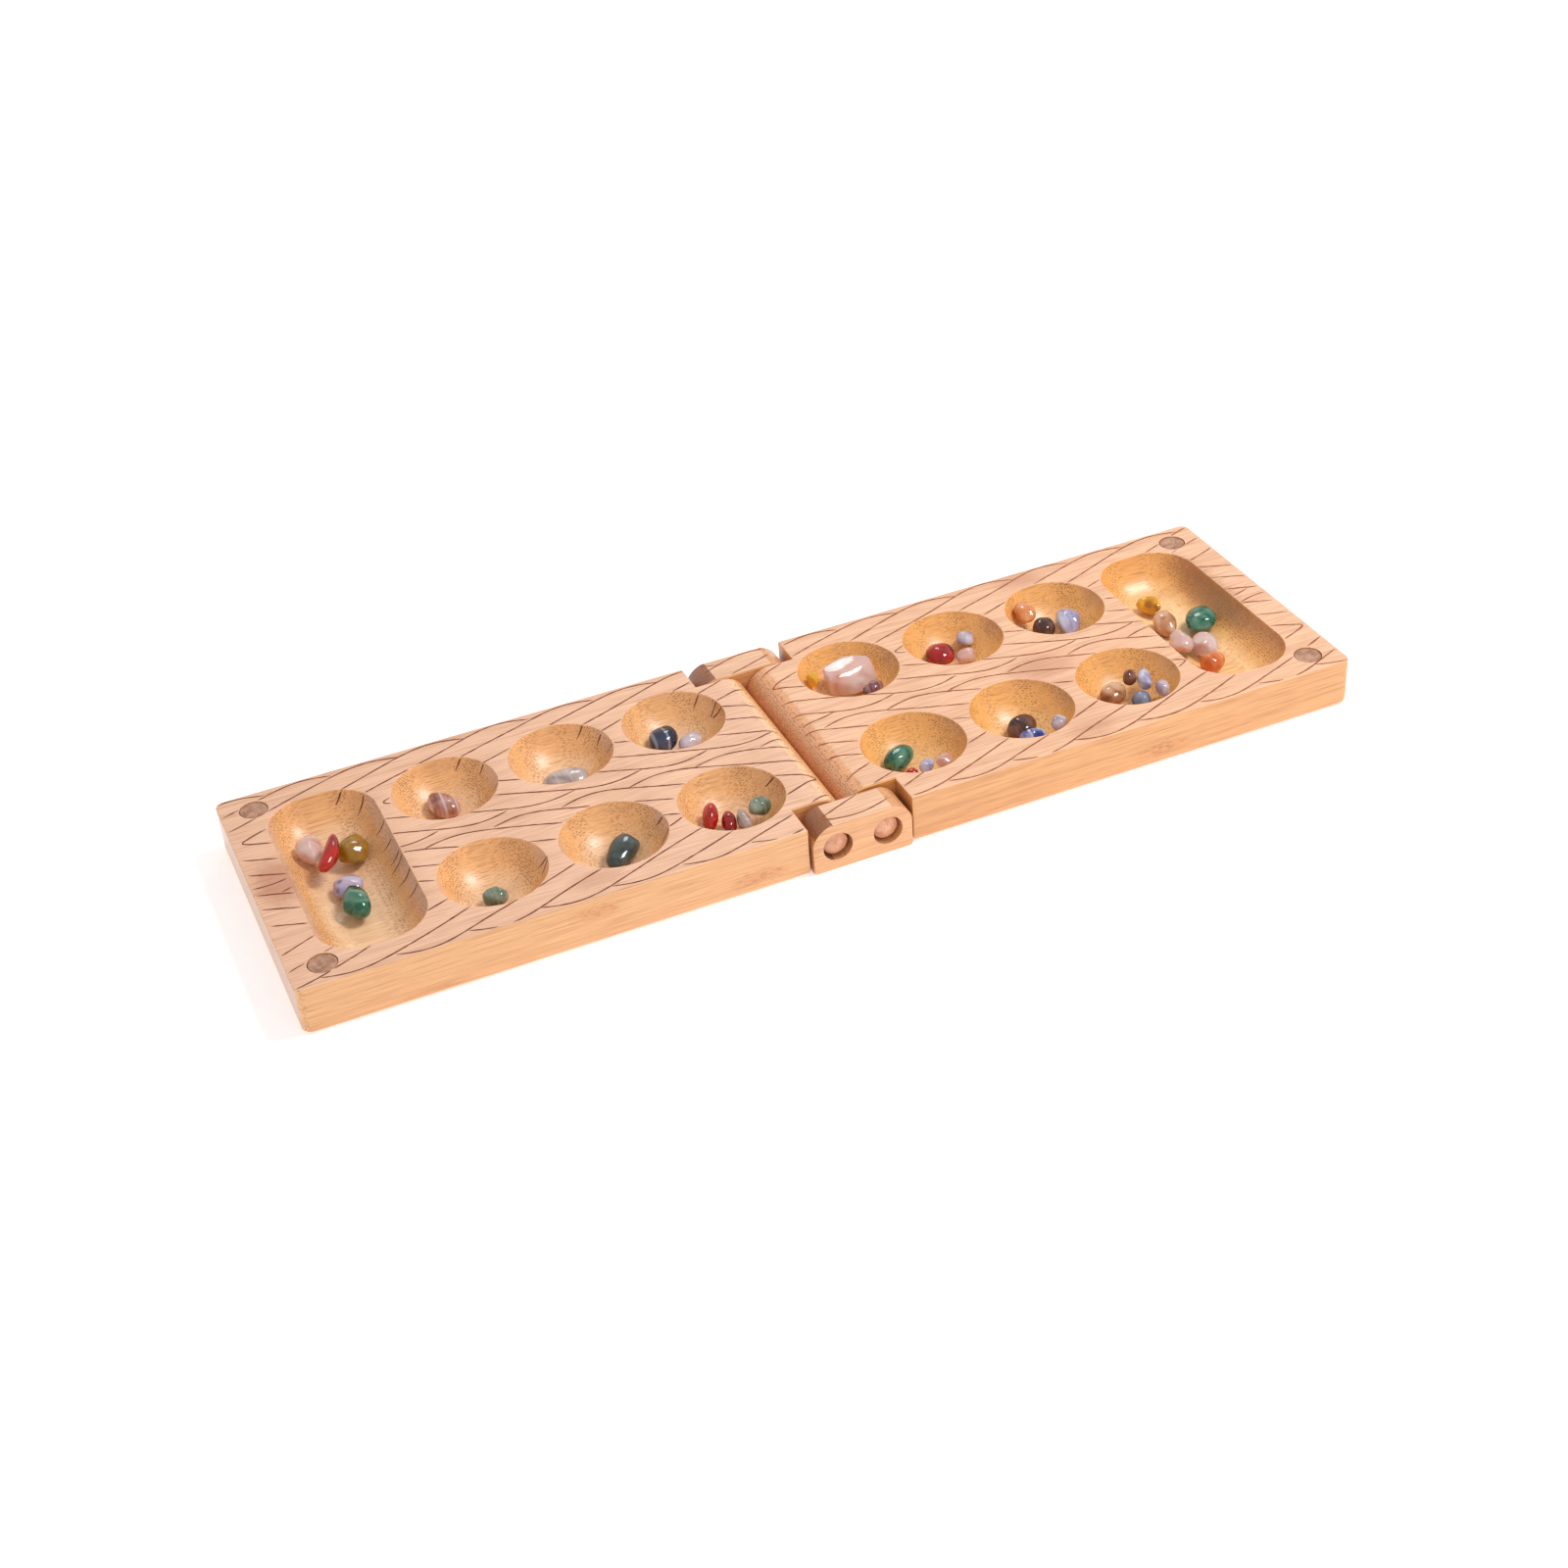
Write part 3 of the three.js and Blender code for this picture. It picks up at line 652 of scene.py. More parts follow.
BLOCK_BOXES = {-1: box_mm("front_link_block"), 1: box_mm("back_link_block")}


def block_height(x, y, along=None):
    """A block's upper surface at a point, or None off it."""
    low, high = BLOCK_BOXES[-1 if y < 0 else 1]
    if not (low.y + 0.8 < y < high.y - 0.8) or abs(x) > PEG_X_MM + 4.5:
        return None
    drop = max(abs(x) - PEG_X_MM, 0)
    return min(THICK_MM, PEG_Z_MM + math.sqrt(BLOCK_SHOULDER_MM ** 2 - drop ** 2))


def ribbon(bm, run, width, height_at):
    """One line as a narrow strip on the surface, with tapered ends."""
    rows = []
    for i, point in enumerate(run):
        before = run[max(i - 1, 0)]
        after = run[min(i + 1, len(run) - 1)]
        along = after - before
        across = Vector((along.y, -along.x, 0))
        if across.length < 1e-6:
            continue
        across.normalize()
        taper = min(1, 0.35 + 0.3 * min(i, len(run) - 1 - i))
        grain = 0.8 + 0.35 * noise.noise(point * 0.35)
        half = width / 2 * taper * grain
        row = []
        for side in (-1, 1):
            corner = point + across * half * side
            corner.z = (height_at(corner.x, corner.y) or point.z) + LINE_LIFT_MM
            row.append(bm.verts.new(corner))
        rows.append(row)
    for one, other in zip(rows, rows[1:]):
        bm.faces.new((one[0], one[1], other[1], other[0]))


def closely_spaced(curve):
    """The same curve with a point every LINE_STEP_MM or so."""
    points = []
    for (x0, y0), (x1, y1) in zip(curve, curve[1:]):
        parts = max(1, int(math.hypot(x1 - x0, y1 - y0) / LINE_STEP_MM))
        for k in range(parts):
            points.append((x0 + (x1 - x0) * k / parts, y0 + (y1 - y0) * k / parts))
    return points


def runs_on_surface(curve, height_at, inside):
    """The stretches of a curve that lie on the piece, as points on its surface."""
    points = closely_spaced(curve)
    run = []
    for (x, y), (next_x, next_y) in zip(points, points[1:] + points[-1:]):
        along = Vector((next_x - x, next_y - y)).normalized()
        height = height_at(x, y, along) if inside(x) else None
        if height is not None:
            run.append(Vector((x, y, height)))
            continue
        yield run
        run = []
    yield run


def make_lines(name, height_at, width, inside):
    """Every stretch of line on one piece."""
    bm = bmesh.new()
    for row in (BACK_ROW, FRONT_ROW):
        for curve in row.curves():
            for run in runs_on_surface(curve, height_at, inside):
                if len(run) >= SHORTEST_RUN:
                    ribbon(bm, run, width, height_at)
    bm.normal_update()
    for face in bm.faces:
        if face.normal.z < 0:
            face.normal_flip()
    mesh = mesh_from(name, bm)
    mesh.transform(Matrix.Scale(MM, 4))
    return linked(name, mesh)


# ---- materials

def srgb(r, g, b):
    """A colour given as it shows on a screen, 0 to 255, as linear light."""
    channels = []
    for value in (r, g, b):
        c = value / 255
        channels.append(c / 12.92 if c <= 0.04045 else ((c + 0.055) / 1.055) ** 2.4)
    return (*channels, 1)


class Nodes:
    """Short ways to build a material's node tree."""

    def __init__(self, name):
        self.material = bpy.data.materials.new(name)
        self.material.use_nodes = True
        self.tree = self.material.node_tree
        self.bsdf = self.tree.nodes["Principled BSDF"]
        # object coordinates, in millimetres
        place = self.tree.nodes.new("ShaderNodeTexCoord")
        self.place = self.vector_math("SCALE", place.outputs["Object"], scale=1 / MM)

    def put(self, socket, value):
        """Links a node's output to a socket, or sets a constant on it."""
        if isinstance(value, bpy.types.NodeSocket):
            self.tree.links.new(value, socket)
        else:
            socket.default_value = value

    def vector_math(self, operation, a, b=None, scale=None):
        node = self.tree.nodes.new("ShaderNodeVectorMath")
        node.operation = operation
        self.put(node.inputs[0], a)
        if b is not None:
            self.put(node.inputs[1], b)
        if scale is not None:
            node.inputs["Scale"].default_value = scale
        return node.outputs["Value"] if operation == "LENGTH" else node.outputs["Vector"]

    def math(self, operation, a, b=0.0, clamp=False):
        node = self.tree.nodes.new("ShaderNodeMath")
        node.operation = operation
        node.use_clamp = clamp
        self.put(node.inputs[0], a)
        self.put(node.inputs[1], b)
        return node.outputs[0]

    def times(self, a, b):
        return self.math("MULTIPLY", a, b)

    def plus(self, a, b):
        return self.math("ADD", a, b)

    def minus(self, a, b):
        return self.math("SUBTRACT", a, b)

    def inverse(self, share):
        return self.math("SUBTRACT", 1.0, share)

    def absolute(self, value):
        return self.math("ABSOLUTE", value)

    def node(self, kind, **inputs):
        """A new node with these inputs linked or set."""
        node = self.tree.nodes.new("ShaderNode" + kind)
        for name, value in inputs.items():
            self.put(node.inputs[name.replace("_", " ")], value)
        return node

    def noise(self, place, scale, detail=3, roughness=0.5, distortion=0.0):
        return self.node(
            "TexNoise", Vector=place, Scale=scale, Detail=detail, Roughness=roughness,
            Distortion=distortion,
        ).outputs["Fac"]

    def voronoi(self, place, scale, randomness=1.0):
        """How far a point is from the middle of its cell."""
        node = self.node("TexVoronoi", Vector=place, Scale=scale, Randomness=randomness)
        return node.outputs["Distance"]

    def ramp(self, value, stops):
        """A colour that runs through the stops, each a position and a colour."""
        node = self.node("ValToRGB", Fac=value)
        elements = node.color_ramp.elements
        while len(elements) < len(stops):
            elements.new(0.5)
        for element, (position, colour) in zip(elements, stops):
            element.position = position
            element.color = colour
        return node.outputs["Color"]

    def span(self, value, low, high):
        """0 below low, 1 above high, smooth between."""
        node = self.node("MapRange", Value=value, From_Min=low, From_Max=high)
        node.interpolation_type = "SMOOTHSTEP"
        return node.outputs["Result"]

    def mix(self, share, a, b, blend="MIX"):
        node = self.tree.nodes.new("ShaderNodeMix")
        node.data_type = "RGBA"
        node.blend_type = blend
        self.put(node.inputs["Factor"], share)
        self.put(node.inputs["A"], a)
        self.put(node.inputs["B"], b)
        return node.outputs["Result"]

    def axis(self, vector, name):
        return self.node("SeparateXYZ", Vector=vector).outputs[name]

    def bump(self, height, strength, distance_mm):
        node = self.node("Bump", Height=height, Strength=strength, Distance=distance_mm * MM)
        self.set(Normal=node.outputs["Normal"])

    def patch(self, centre, radii, soft):
        """1 inside an ellipsoid with a ragged edge, 0 outside it."""
        offset = self.vector_math("SUBTRACT", self.place, centre)
        scaled = self.vector_math("DIVIDE", offset, radii)
        distance = self.vector_math("LENGTH", scaled)
        ragged = self.times(self.noise(self.place, 0.35, 4), 0.7)
        distance = self.plus(distance, self.minus(ragged, 0.35))
        return self.inverse(self.span(distance, 1 - soft, 1 + soft))

    def set(self, **values):
        """Sets or links the shader's own sockets, such as Base_Color."""
        for name, value in values.items():
            self.put(self.bsdf.inputs[name.replace("_", " ")], value)


def stretched(nodes, x, y, z, shift=(0, 0, 0)):
    """The place scaled by a factor on each axis."""
    moved = nodes.vector_math("ADD", nodes.place, shift)
    return nodes.vector_math("MULTIPLY", moved, (x, y, z))


class BambooLook:
    """The colours of one piece of laminated bamboo, and how strongly its dots show.

    floor is the colour of the hollows' upward-facing floors, paler than inner as a painted
    highlight.
    patches are ragged marks, stains and painted highlights: (tint, share, centre, radii, softness).
    cut_bands are stretches of X that lie across the fibres: (colour, from, to).
    nodes are the bamboo's own joints, speckled brown: (centre, radii).
    """

    patches = ()
    cut_bands = ()
    nodes = ()

    def __init__(self, **parts):
        vars(self).update(parts)


VESSEL = srgb(122, 66, 28)
THREAD = srgb(196, 126, 84)
NODE_TINT = srgb(222, 148, 92)
NODE_FLECK = srgb(156, 92, 48)
STRIP_TINTS = [
    (0.34, (0.86, 0.81, 0.76, 1)), (0.5, (1, 1, 1, 1)), (0.68, (1.0, 0.98, 0.94, 1)),
]
FIBRE_TINTS = [
    (0.34, (0.72, 0.58, 0.48, 1)), (0.5, (0.96, 0.94, 0.92, 1)), (0.64, (1.05, 1.05, 1.05, 1)),
]


class Faces:
    """Which way a surface faces, and masks for the flat outer ones."""

    def __init__(self, n):
        normal = n.tree.nodes.new("ShaderNodeTexCoord").outputs["Normal"]
        self.along_x = n.absolute(n.axis(normal, "X"))
        self.along_y = n.absolute(n.axis(normal, "Y"))
        self.up = n.axis(normal, "Z")
        self.x = n.axis(n.place, "X")
        # the playing face, and the underside that is finished like it
        from_middle = n.absolute(n.minus(n.axis(n.place, "Z"), THICK_MM / 2))
        self.is_top = n.times(
            n.span(from_middle, THICK_MM / 2 - 0.7, THICK_MM / 2 - 0.15),
            n.span(n.absolute(self.up), 0.6, 0.95),
        )
        self.is_side = n.times(
            n.span(self.along_y, 0.5, 0.9),
            n.span(n.absolute(n.axis(n.place, "Y")), HALF_WIDTH_MM - 2.6, HALF_WIDTH_MM - 1.2),
        )


def plain_bamboo(n, look, faces):
    """Each kind of surface in its own colour, with a painted highlight that makes the hollows'
    upward-facing floors paler, and a mask of where fibres are cut across.
    """
    # painted highlight: surfaces in the hollows that face up take the paler floor colour, as if lit
    # from overhead
    painted_highlight_share = n.times(n.span(faces.up, 0.7, 1.0), 0.6)
    colour = n.mix(painted_highlight_share, look.inner, look.floor)
    colour = n.mix(faces.is_side, colour, look.side)
    colour = n.mix(faces.is_top, colour, look.top)
    is_outer_end = n.span(n.absolute(faces.x), NOTCH_WALL_MM + 3, NOTCH_WALL_MM + 6)
    end_colour = n.mix(is_outer_end, look.hinge_end, look.end)
    cut_across = n.times(n.span(faces.along_x, 0.72, 0.97), n.inverse(faces.is_top))
    colour = n.mix(n.times(cut_across, 0.8), colour, end_colour)
    for tint, low, high in look.cut_bands:
        past_low = n.span(faces.x, low - 0.1, low + 0.1)
        past_high = n.span(faces.x, high - 0.1, high + 0.1)
        inside = n.times(past_low, n.inverse(past_high))
        inside = n.times(inside, n.inverse(n.span(faces.along_y, 0.4, 0.6)))
        colour = n.mix(inside, colour, tint)
        cut_across = n.math("MAXIMUM", cut_across, inside)
    return colour, cut_across


def marks_on(n, colour, look, shift):
    """Ragged stains and painted highlights, and the bamboo's own joints with their brown speckle.
    """
    for tint, share, centre, radii, soft in look.patches:
        spot = n.times(n.patch(centre, radii, soft), share)
        colour = n.mix(spot, colour, tint)
    speckle = n.span(n.noise(stretched(n, 0.3, 1.8, 1.8, shift), 1.0, 4, 0.7), 0.5, 0.64)
    for centre, radii in look.nodes:
        spot = n.patch(centre, radii, 0.6)
        colour = n.mix(n.times(spot, 0.5), colour, NODE_TINT)
        flecks = n.times(n.times(spot, speckle), 0.8)
        colour = n.mix(flecks, colour, NODE_FLECK)
    return colour


def bamboo(name, look, shift):
    """Solid bamboo whose fibres run along X: streaks along them, dots across them."""
    n = Nodes(name)
    faces = Faces(n)
    colour, cut_across = plain_bamboo(n, look, faces)

    # laminated strips, each a little lighter or darker
    strips = n.noise(stretched(n, 0.003, 0.2, 0.2, shift), 1.0, 2)
    colour = n.mix(0.6, colour, n.ramp(strips, STRIP_TINTS), "MULTIPLY")
    fibres = n.noise(stretched(n, 0.04, 2.6, 2.6, shift), 1.0, 4, 0.6)
    colour = n.mix(0.95, colour, n.ramp(fibres, FIBRE_TINTS), "MULTIPLY")

    # vessel bundles: dark dots where they are cut across, short streaks elsewhere
    bundles = n.voronoi(stretched(n, 0.06, 1.0, 1.0, shift), 1.25, 0.5)
    dot = n.inverse(n.span(bundles, 0.16, 0.38))
    slant = n.times(n.span(faces.along_x, 0.08, 0.7), n.inverse(faces.is_top))
    is_flat = n.math("MAXIMUM", faces.is_top, faces.is_side)
    across = n.plus(n.times(slant, 0.65), 0.12)
    across = n.plus(across, n.times(n.inverse(is_flat), 0.23))
    across = n.math("MAXIMUM", across, n.times(cut_across, 0.95))
    colour = n.mix(n.times(dot, n.times(across, look.dots)), colour, VESSEL)

    # long dark threads where a bundle lies open along the surface
    threads = n.noise(stretched(n, 0.02, 2.4, 2.4, shift), 1.0, 2)
    lengthwise = n.math("SUBTRACT", 0.5, slant, True)
    colour = n.mix(n.times(n.span(threads, 0.62, 0.74), lengthwise), colour, THREAD)
    colour = marks_on(n, colour, look, shift)

    # the hollows are polished, and the flat outer faces are duller
    dullness = n.plus(n.times(is_flat, 0.18), 0.23)
    dullness = n.plus(dullness, n.times(fibres, 0.2))
    n.set(Base_Color=colour, Roughness=dullness, Specular_IOR_Level=0.62)
    n.bump(n.minus(fibres, n.times(dot, 0.6)), 0.3, 0.14)
    return n.material


def end_grain(name, pale, dark, fleck, roughness):
    """Wood cut across its fibres, with soft patches and dark flecks."""
    n = Nodes(name)
    soft = n.noise(n.place, 0.28, 4, 0.6, 0.6)
    colour = n.ramp(soft, [(0.32, dark), (0.62, pale)])
    flecks = n.voronoi(n.place, 1.5)
    dot = n.inverse(n.span(flecks, 0.08, 0.4))
    colour = n.mix(n.times(dot, 0.55), colour, fleck)
    n.set(Base_Color=colour, Roughness=n.plus(n.times(soft, 0.2), roughness - 0.1))
    n.bump(n.minus(soft, n.times(dot, 0.4)), 0.3, 0.15)
    return n.material


def burnt(name, dark, light):
    """Scorched line work."""
    n = Nodes(name)
    grain = n.noise(n.place, 1.3, 3, 0.6)
    colour = n.ramp(grain, [(0.3, dark), (0.7, light)])
    n.set(Base_Color=colour, Roughness=n.plus(n.times(grain, 0.2), 0.6))
    n.bump(grain, 0.3, 0.1)
    return n.material


def nickel(name):
    """Bright plated metal with a fine grain."""
    n = Nodes(name)
    grain = n.noise(stretched(n, 2, 2, 2), 1.0, 5, 0.7)
    colour = n.ramp(grain, [(0.3, (0.55, 0.55, 0.56, 1)), (0.7, (0.72, 0.72, 0.73, 1))])
    n.set(Base_Color=colour, Roughness=n.plus(n.times(grain, 0.2), 0.2), Metallic=1)
    n.bump(grain, 0.1, 0.05)
    return n.material


# ---- stones

# how far out a stone's flats lie, as a least and a most share of its size
ROUNDED = (0.82, 0.97)
CHIPPED = (0.66, 0.9)


class StoneLook:
    """One kind of polished stone: cloudy body colours, bands and clearness.

    bands, clear and spots are strengths from 0 to 1, and band is the bands' colour.
    """

    def __init__(self, deep, body, pale, bands=0, band=None, clear=0, spots=0, flatness=ROUNDED):
        self.deep = srgb(*deep)
        self.body = srgb(*body)
        self.pale = srgb(*pale)
        self.bands = bands
        self.band = srgb(*(band or pale))
        self.clear = clear
        self.spots = spots
        self.flatness = flatness


STONE_LOOKS = {
    "rose_quartz": StoneLook(
        (222, 164, 150), (238, 198, 188), (250, 226, 218), clear=0.6, flatness=CHIPPED,
    ),
    "red_agate": StoneLook((86, 4, 4), (170, 14, 6), (214, 48, 20), clear=0.25),
    "honey_agate": StoneLook((104, 66, 10), (172, 120, 18), (206, 160, 64), clear=0.5),
    "amethyst": StoneLook((78, 54, 120), (172, 150, 196), (226, 212, 214), clear=0.3, spots=0.6),
    "green_agate": StoneLook((6, 62, 44), (20, 104, 74), (120, 164, 140), clear=0.3, bands=0.15),
    "pink_jasper": StoneLook(
        (126, 74, 62), (172, 114, 98), (214, 178, 172), bands=0.6, band=(222, 200, 204),
    ),
    "grey_agate": StoneLook((140, 124, 118), (178, 160, 154), (212, 200, 196), bands=0.35),
    "black_agate": StoneLook(
        (14, 16, 28), (34, 38, 58), (72, 76, 104), bands=0.3, band=(206, 206, 222),
    ),
    "lilac_quartz": StoneLook(
        (166, 146, 166), (206, 190, 204), (236, 228, 236), clear=0.45, flatness=CHIPPED,
    ),
    "amber": StoneLook((176, 108, 2), (236, 170, 6), (250, 206, 66), clear=0.4, flatness=CHIPPED),
    "garnet": StoneLook((58, 16, 22), (112, 48, 52), (190, 140, 144), bands=0.5, clear=0.2),
    "carnelian": StoneLook((186, 76, 20), (226, 120, 50), (244, 178, 120), clear=0.4, bands=0.2),
    "brown_agate": StoneLook((34, 14, 8), (84, 42, 28), (150, 96, 74), bands=0.2, clear=0.15),
    "lavender": StoneLook(
        (134, 126, 168), (182, 174, 208), (236, 234, 246), clear=0.35, bands=0.3, flatness=CHIPPED,
    ),
    "moss_agate": StoneLook((46, 62, 44), (98, 112, 90), (168, 178, 160), bands=0.25, clear=0.2),
    "dark_green": StoneLook((20, 28, 30), (48, 58, 56), (88, 98, 94), bands=0.12),
    "tan_jasper": StoneLook((120, 68, 34), (190, 132, 92), (226, 184, 150), spots=0.5),
    "blue_sodalite": StoneLook((24, 34, 110), (60, 76, 160), (226, 228, 240), bands=0.5, spots=0.3),
    "slate_blue": StoneLook((50, 56, 80), (92, 100, 128), (158, 164, 186), bands=0.3),
}


def stone_material(name, look, seed):
    """Polished stone with soft clouds, bent bands and small flaws."""
    n = Nodes(name)
    # each stone takes its pattern from a place of its own
    shift = ((seed * 37) % 101, (seed * 53) % 97, (seed * 71) % 89)
    place = n.vector_math("ADD", n.place, shift)
    clouds = n.noise(place, 0.1, 2, 0.45, 1.0)
    colour = n.ramp(clouds, [(0.28, look.deep), (0.46, look.body), (0.74, look.pale)])
    if look.bands:
        slanted = n.vector_math("MULTIPLY", place, (0.8, 0.45, 0.7))
        wave = n.node("TexWave", Vector=slanted, Scale=0.075, Distortion=2.6, Detail=1)
        bands = wave.outputs["Fac"]
        colour = n.mix(n.times(n.span(bands, 0.82, 0.97), look.bands), colour, look.band)
        dark_bands = n.span(n.inverse(bands), 0.86, 0.99)
        colour = n.mix(n.times(dark_bands, look.bands * 0.5), colour, look.deep)
    if look.spots:
        cells = n.voronoi(place, 0.22)
        spot = n.inverse(n.span(cells, 0.08, 0.42))
        colour = n.mix(n.times(spot, look.spots), colour, look.deep)
    specks = n.span(n.noise(place, 1.1, 2, 0.5), 0.62, 0.8)
    colour = n.mix(n.times(specks, 0.18), colour, look.pale)
    polish = n.plus(n.times(n.noise(place, 0.8, 3), 0.1), 0.03)
    n.set(Base_Color=colour, Roughness=polish, IOR=1.54, Specular_IOR_Level=0.5)
    n.set(Coat_Weight=0.15, Coat_Roughness=0.03)
    if look.clear:
        n.set(
            Transmission_Weight=look.clear * 0.6, Subsurface_Weight=look.clear,
            Subsurface_Radius=(1.0, 0.8, 0.7), Subsurface_Scale=3 * MM,
        )
    n.bump(n.noise(place, 0.35, 2), 0.1, 0.3)
    return n.material


STONE_FLATS = 7
STONE_SMOOTHING = 3
UNWORN_STONES = ("left_store_red_comma",)
PLATE_STONES = ("right_back_1_slab",)
PLATE_SIDES = 6
PLATE_SIDE_OUT = 0.78
PLATE_FACE_OUT = 0.5

# how much of what stands past a flat is worn off, and how softly the flat begins
WEAR = 0.9
FLAT_EDGE = 0.12
DENT = 0.05


def refined(source):
    """A smooth, finer copy of a CAD mesh."""
    bm = bmesh.new()
    bm.from_mesh(source.data)
    bmesh.ops.remove_doubles(bm, verts=bm.verts, dist=1e-6)
    thing = linked("refined", mesh_from("refined", bm))
    smooth = thing.modifiers.new("smooth", "SUBSURF")
    smooth.levels = STONE_SMOOTHING
    smooth.render_levels = STONE_SMOOTHING
    fine = evaluated(thing)
    bpy.data.objects.remove(thing)
    return fine


def in_unit_box(points):
    """The points moved and scaled so that they reach from -1 to 1 on each axis."""
    low = Vector([min(p[k] for p in points) for k in range(3)])
    high = Vector([max(p[k] for p in points) for k in range(3)])
    middle, half = (low + high) / 2, (high - low) / 2
    return [
        Vector([(p[k] - middle[k]) / half[k] for k in range(3)])
        for p in points
    ]


def worn_flats(node, seed, flatness):
    """The flats of a stone, each as the way it faces and how far out it lies."""
    if node in UNWORN_STONES:
        return []
    if node in PLATE_STONES:
        turns = [2 * math.pi * k / PLATE_SIDES for k in range(PLATE_SIDES)]
        sides = [(Vector((math.cos(t), math.sin(t), 0)), PLATE_SIDE_OUT) for t in turns]
        return sides + [(Vector((0, 0, way)), PLATE_FACE_OUT) for way in (1, -1)]
    draw = random.Random(seed)
    flats = []
    for _ in range(STONE_FLATS):
        facing = Vector([draw.gauss(0, 1) for _ in range(3)]).normalized()
        flats.append((facing, draw.uniform(*flatness)))
    return flats


def make_stone(name, node, seed, flatness):
    """A tumbled stone: the CAD stone refined, with worn flats, at its own size."""
    mesh = refined(frame["nodes"][node])
    mesh.name = name
    flats = worn_flats(node, seed, flatness)
    points = in_unit_box([v.co for v in mesh.vertices])
    for point in points:
        for facing, level in flats:
            over = point.dot(facing) - level
            point -= facing * WEAR * (over + math.hypot(over, FLAT_EDGE)) / 2
        dent = noise.noise(point * 1.4 + Vector((seed * 1.7, seed * 0.9, seed * 2.3)))
        point *= 1 - DENT * max(dent, 0)
    low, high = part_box(node)
    middle, half = (low + high) / 2, (high - low) / 2
    for vertex, point in zip(mesh.vertices, in_unit_box(points)):
        vertex.co = [middle[k] + half[k] * point[k] for k in range(3)]
    for polygon in mesh.polygons:
        polygon.use_smooth = True
    return linked(name, mesh)


# ---- assembly

BODY_OF = {
    node: body
    for body, nodes in frame["record"]["behaviour"]["bodies"].items()
    for node in nodes
}
SLOT_OF = {s["node"]: s["material_slot"] for s in frame["record"]["subparts"]}


def place_piece(piece, node, material):
    """Gives a piece its material and its body, and hides the CAD node that it stands for."""
    piece.data.materials.clear()
    piece.data.materials.append(material)
    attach(piece, BODY_OF[node])
    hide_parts(node)


KNOT = srgb(190, 124, 92)
# a darker brown tint, used high on the right store's right-hand wall
DARK_WALL_PATCH = srgb(150, 96, 52)
SIDE_NODE_Z_MM = 7

LEFT_LOOK = BambooLook(
    top=srgb(244, 196, 164), inner=srgb(250, 190, 128),
    # floor: the hollows' floors, made paler as a painted highlight
    floor=srgb(255, 222, 186), side=srgb(236, 180, 128),
    end=srgb(226, 194, 180), hinge_end=srgb(212, 146, 98), dots=0.9,
    patches=[
        (KNOT, 0.7, (-212, 2, 21), (8, 14, 4), 0.6),
        (KNOT, 0.35, (-104, -54, 21), (9, 5, 3), 0.6),
        # painted highlight: a pale patch of reflected light on the left store's floor
        (srgb(250, 208, 164), 0.4, (-190, -6, 7), (12, 40, 5), 0.5),
    ],
    nodes=[
        ((-108, -HALF_WIDTH_MM, 14.5), (9, 2, 3)),
        ((-43, -HALF_WIDTH_MM, SIDE_NODE_Z_MM), (10, 2, 3)),
        ((-197, 16, 9), (5, 9, 4)),
    ],
)
RIGHT_LOOK = BambooLook(
    top=srgb(244, 194, 158), inner=srgb(252, 186, 108),
    # floor: the hollows' floors, made paler as a painted highlight
    floor=srgb(255, 214, 154), side=srgb(235, 174, 118),
    end=srgb(206, 150, 108), hinge_end=srgb(206, 140, 94), dots=0.9,
    patches=[
        (KNOT, 0.42, (135, 58, 21), (10, 6, 3), 0.6),
        (KNOT, 0.5, (110, -8, 21), (13, 9, 3), 0.6),
        (KNOT, 0.36, (106, -57, 21), (9, 7, 3), 0.6),
        # painted highlight: a pale ellipse of reflected light on the right store's floor
        (srgb(253, 218, 164), 0.8, (182, 8, 7), (13, 26, 5), 0.45),
        # a darker brown patch high on the right store's right-hand wall
        (DARK_WALL_PATCH, 0.6, (205, 14, 15), (7, 26, 8), 0.55),
    ],
    cut_bands=[(srgb(244, 182, 136), 0, 8.8)],
    nodes=[((134, -HALF_WIDTH_MM, SIDE_NODE_Z_MM), (10, 2, 3))],
)
BLOCK_LOOK = BambooLook(
    top=srgb(244, 198, 164), inner=srgb(230, 170, 116),
    # floor: surfaces that face up, made paler as a painted highlight
    floor=srgb(236, 180, 130), side=srgb(240, 182, 132),
    end=srgb(190, 128, 84), hinge_end=srgb(176, 116, 76), dots=0.65,
    cut_bands=[
        (srgb(160, 104, 70), -20, -PEG_X_MM - 1.6), (srgb(226, 164, 112), PEG_X_MM + 2.2, 20),
    ],
)


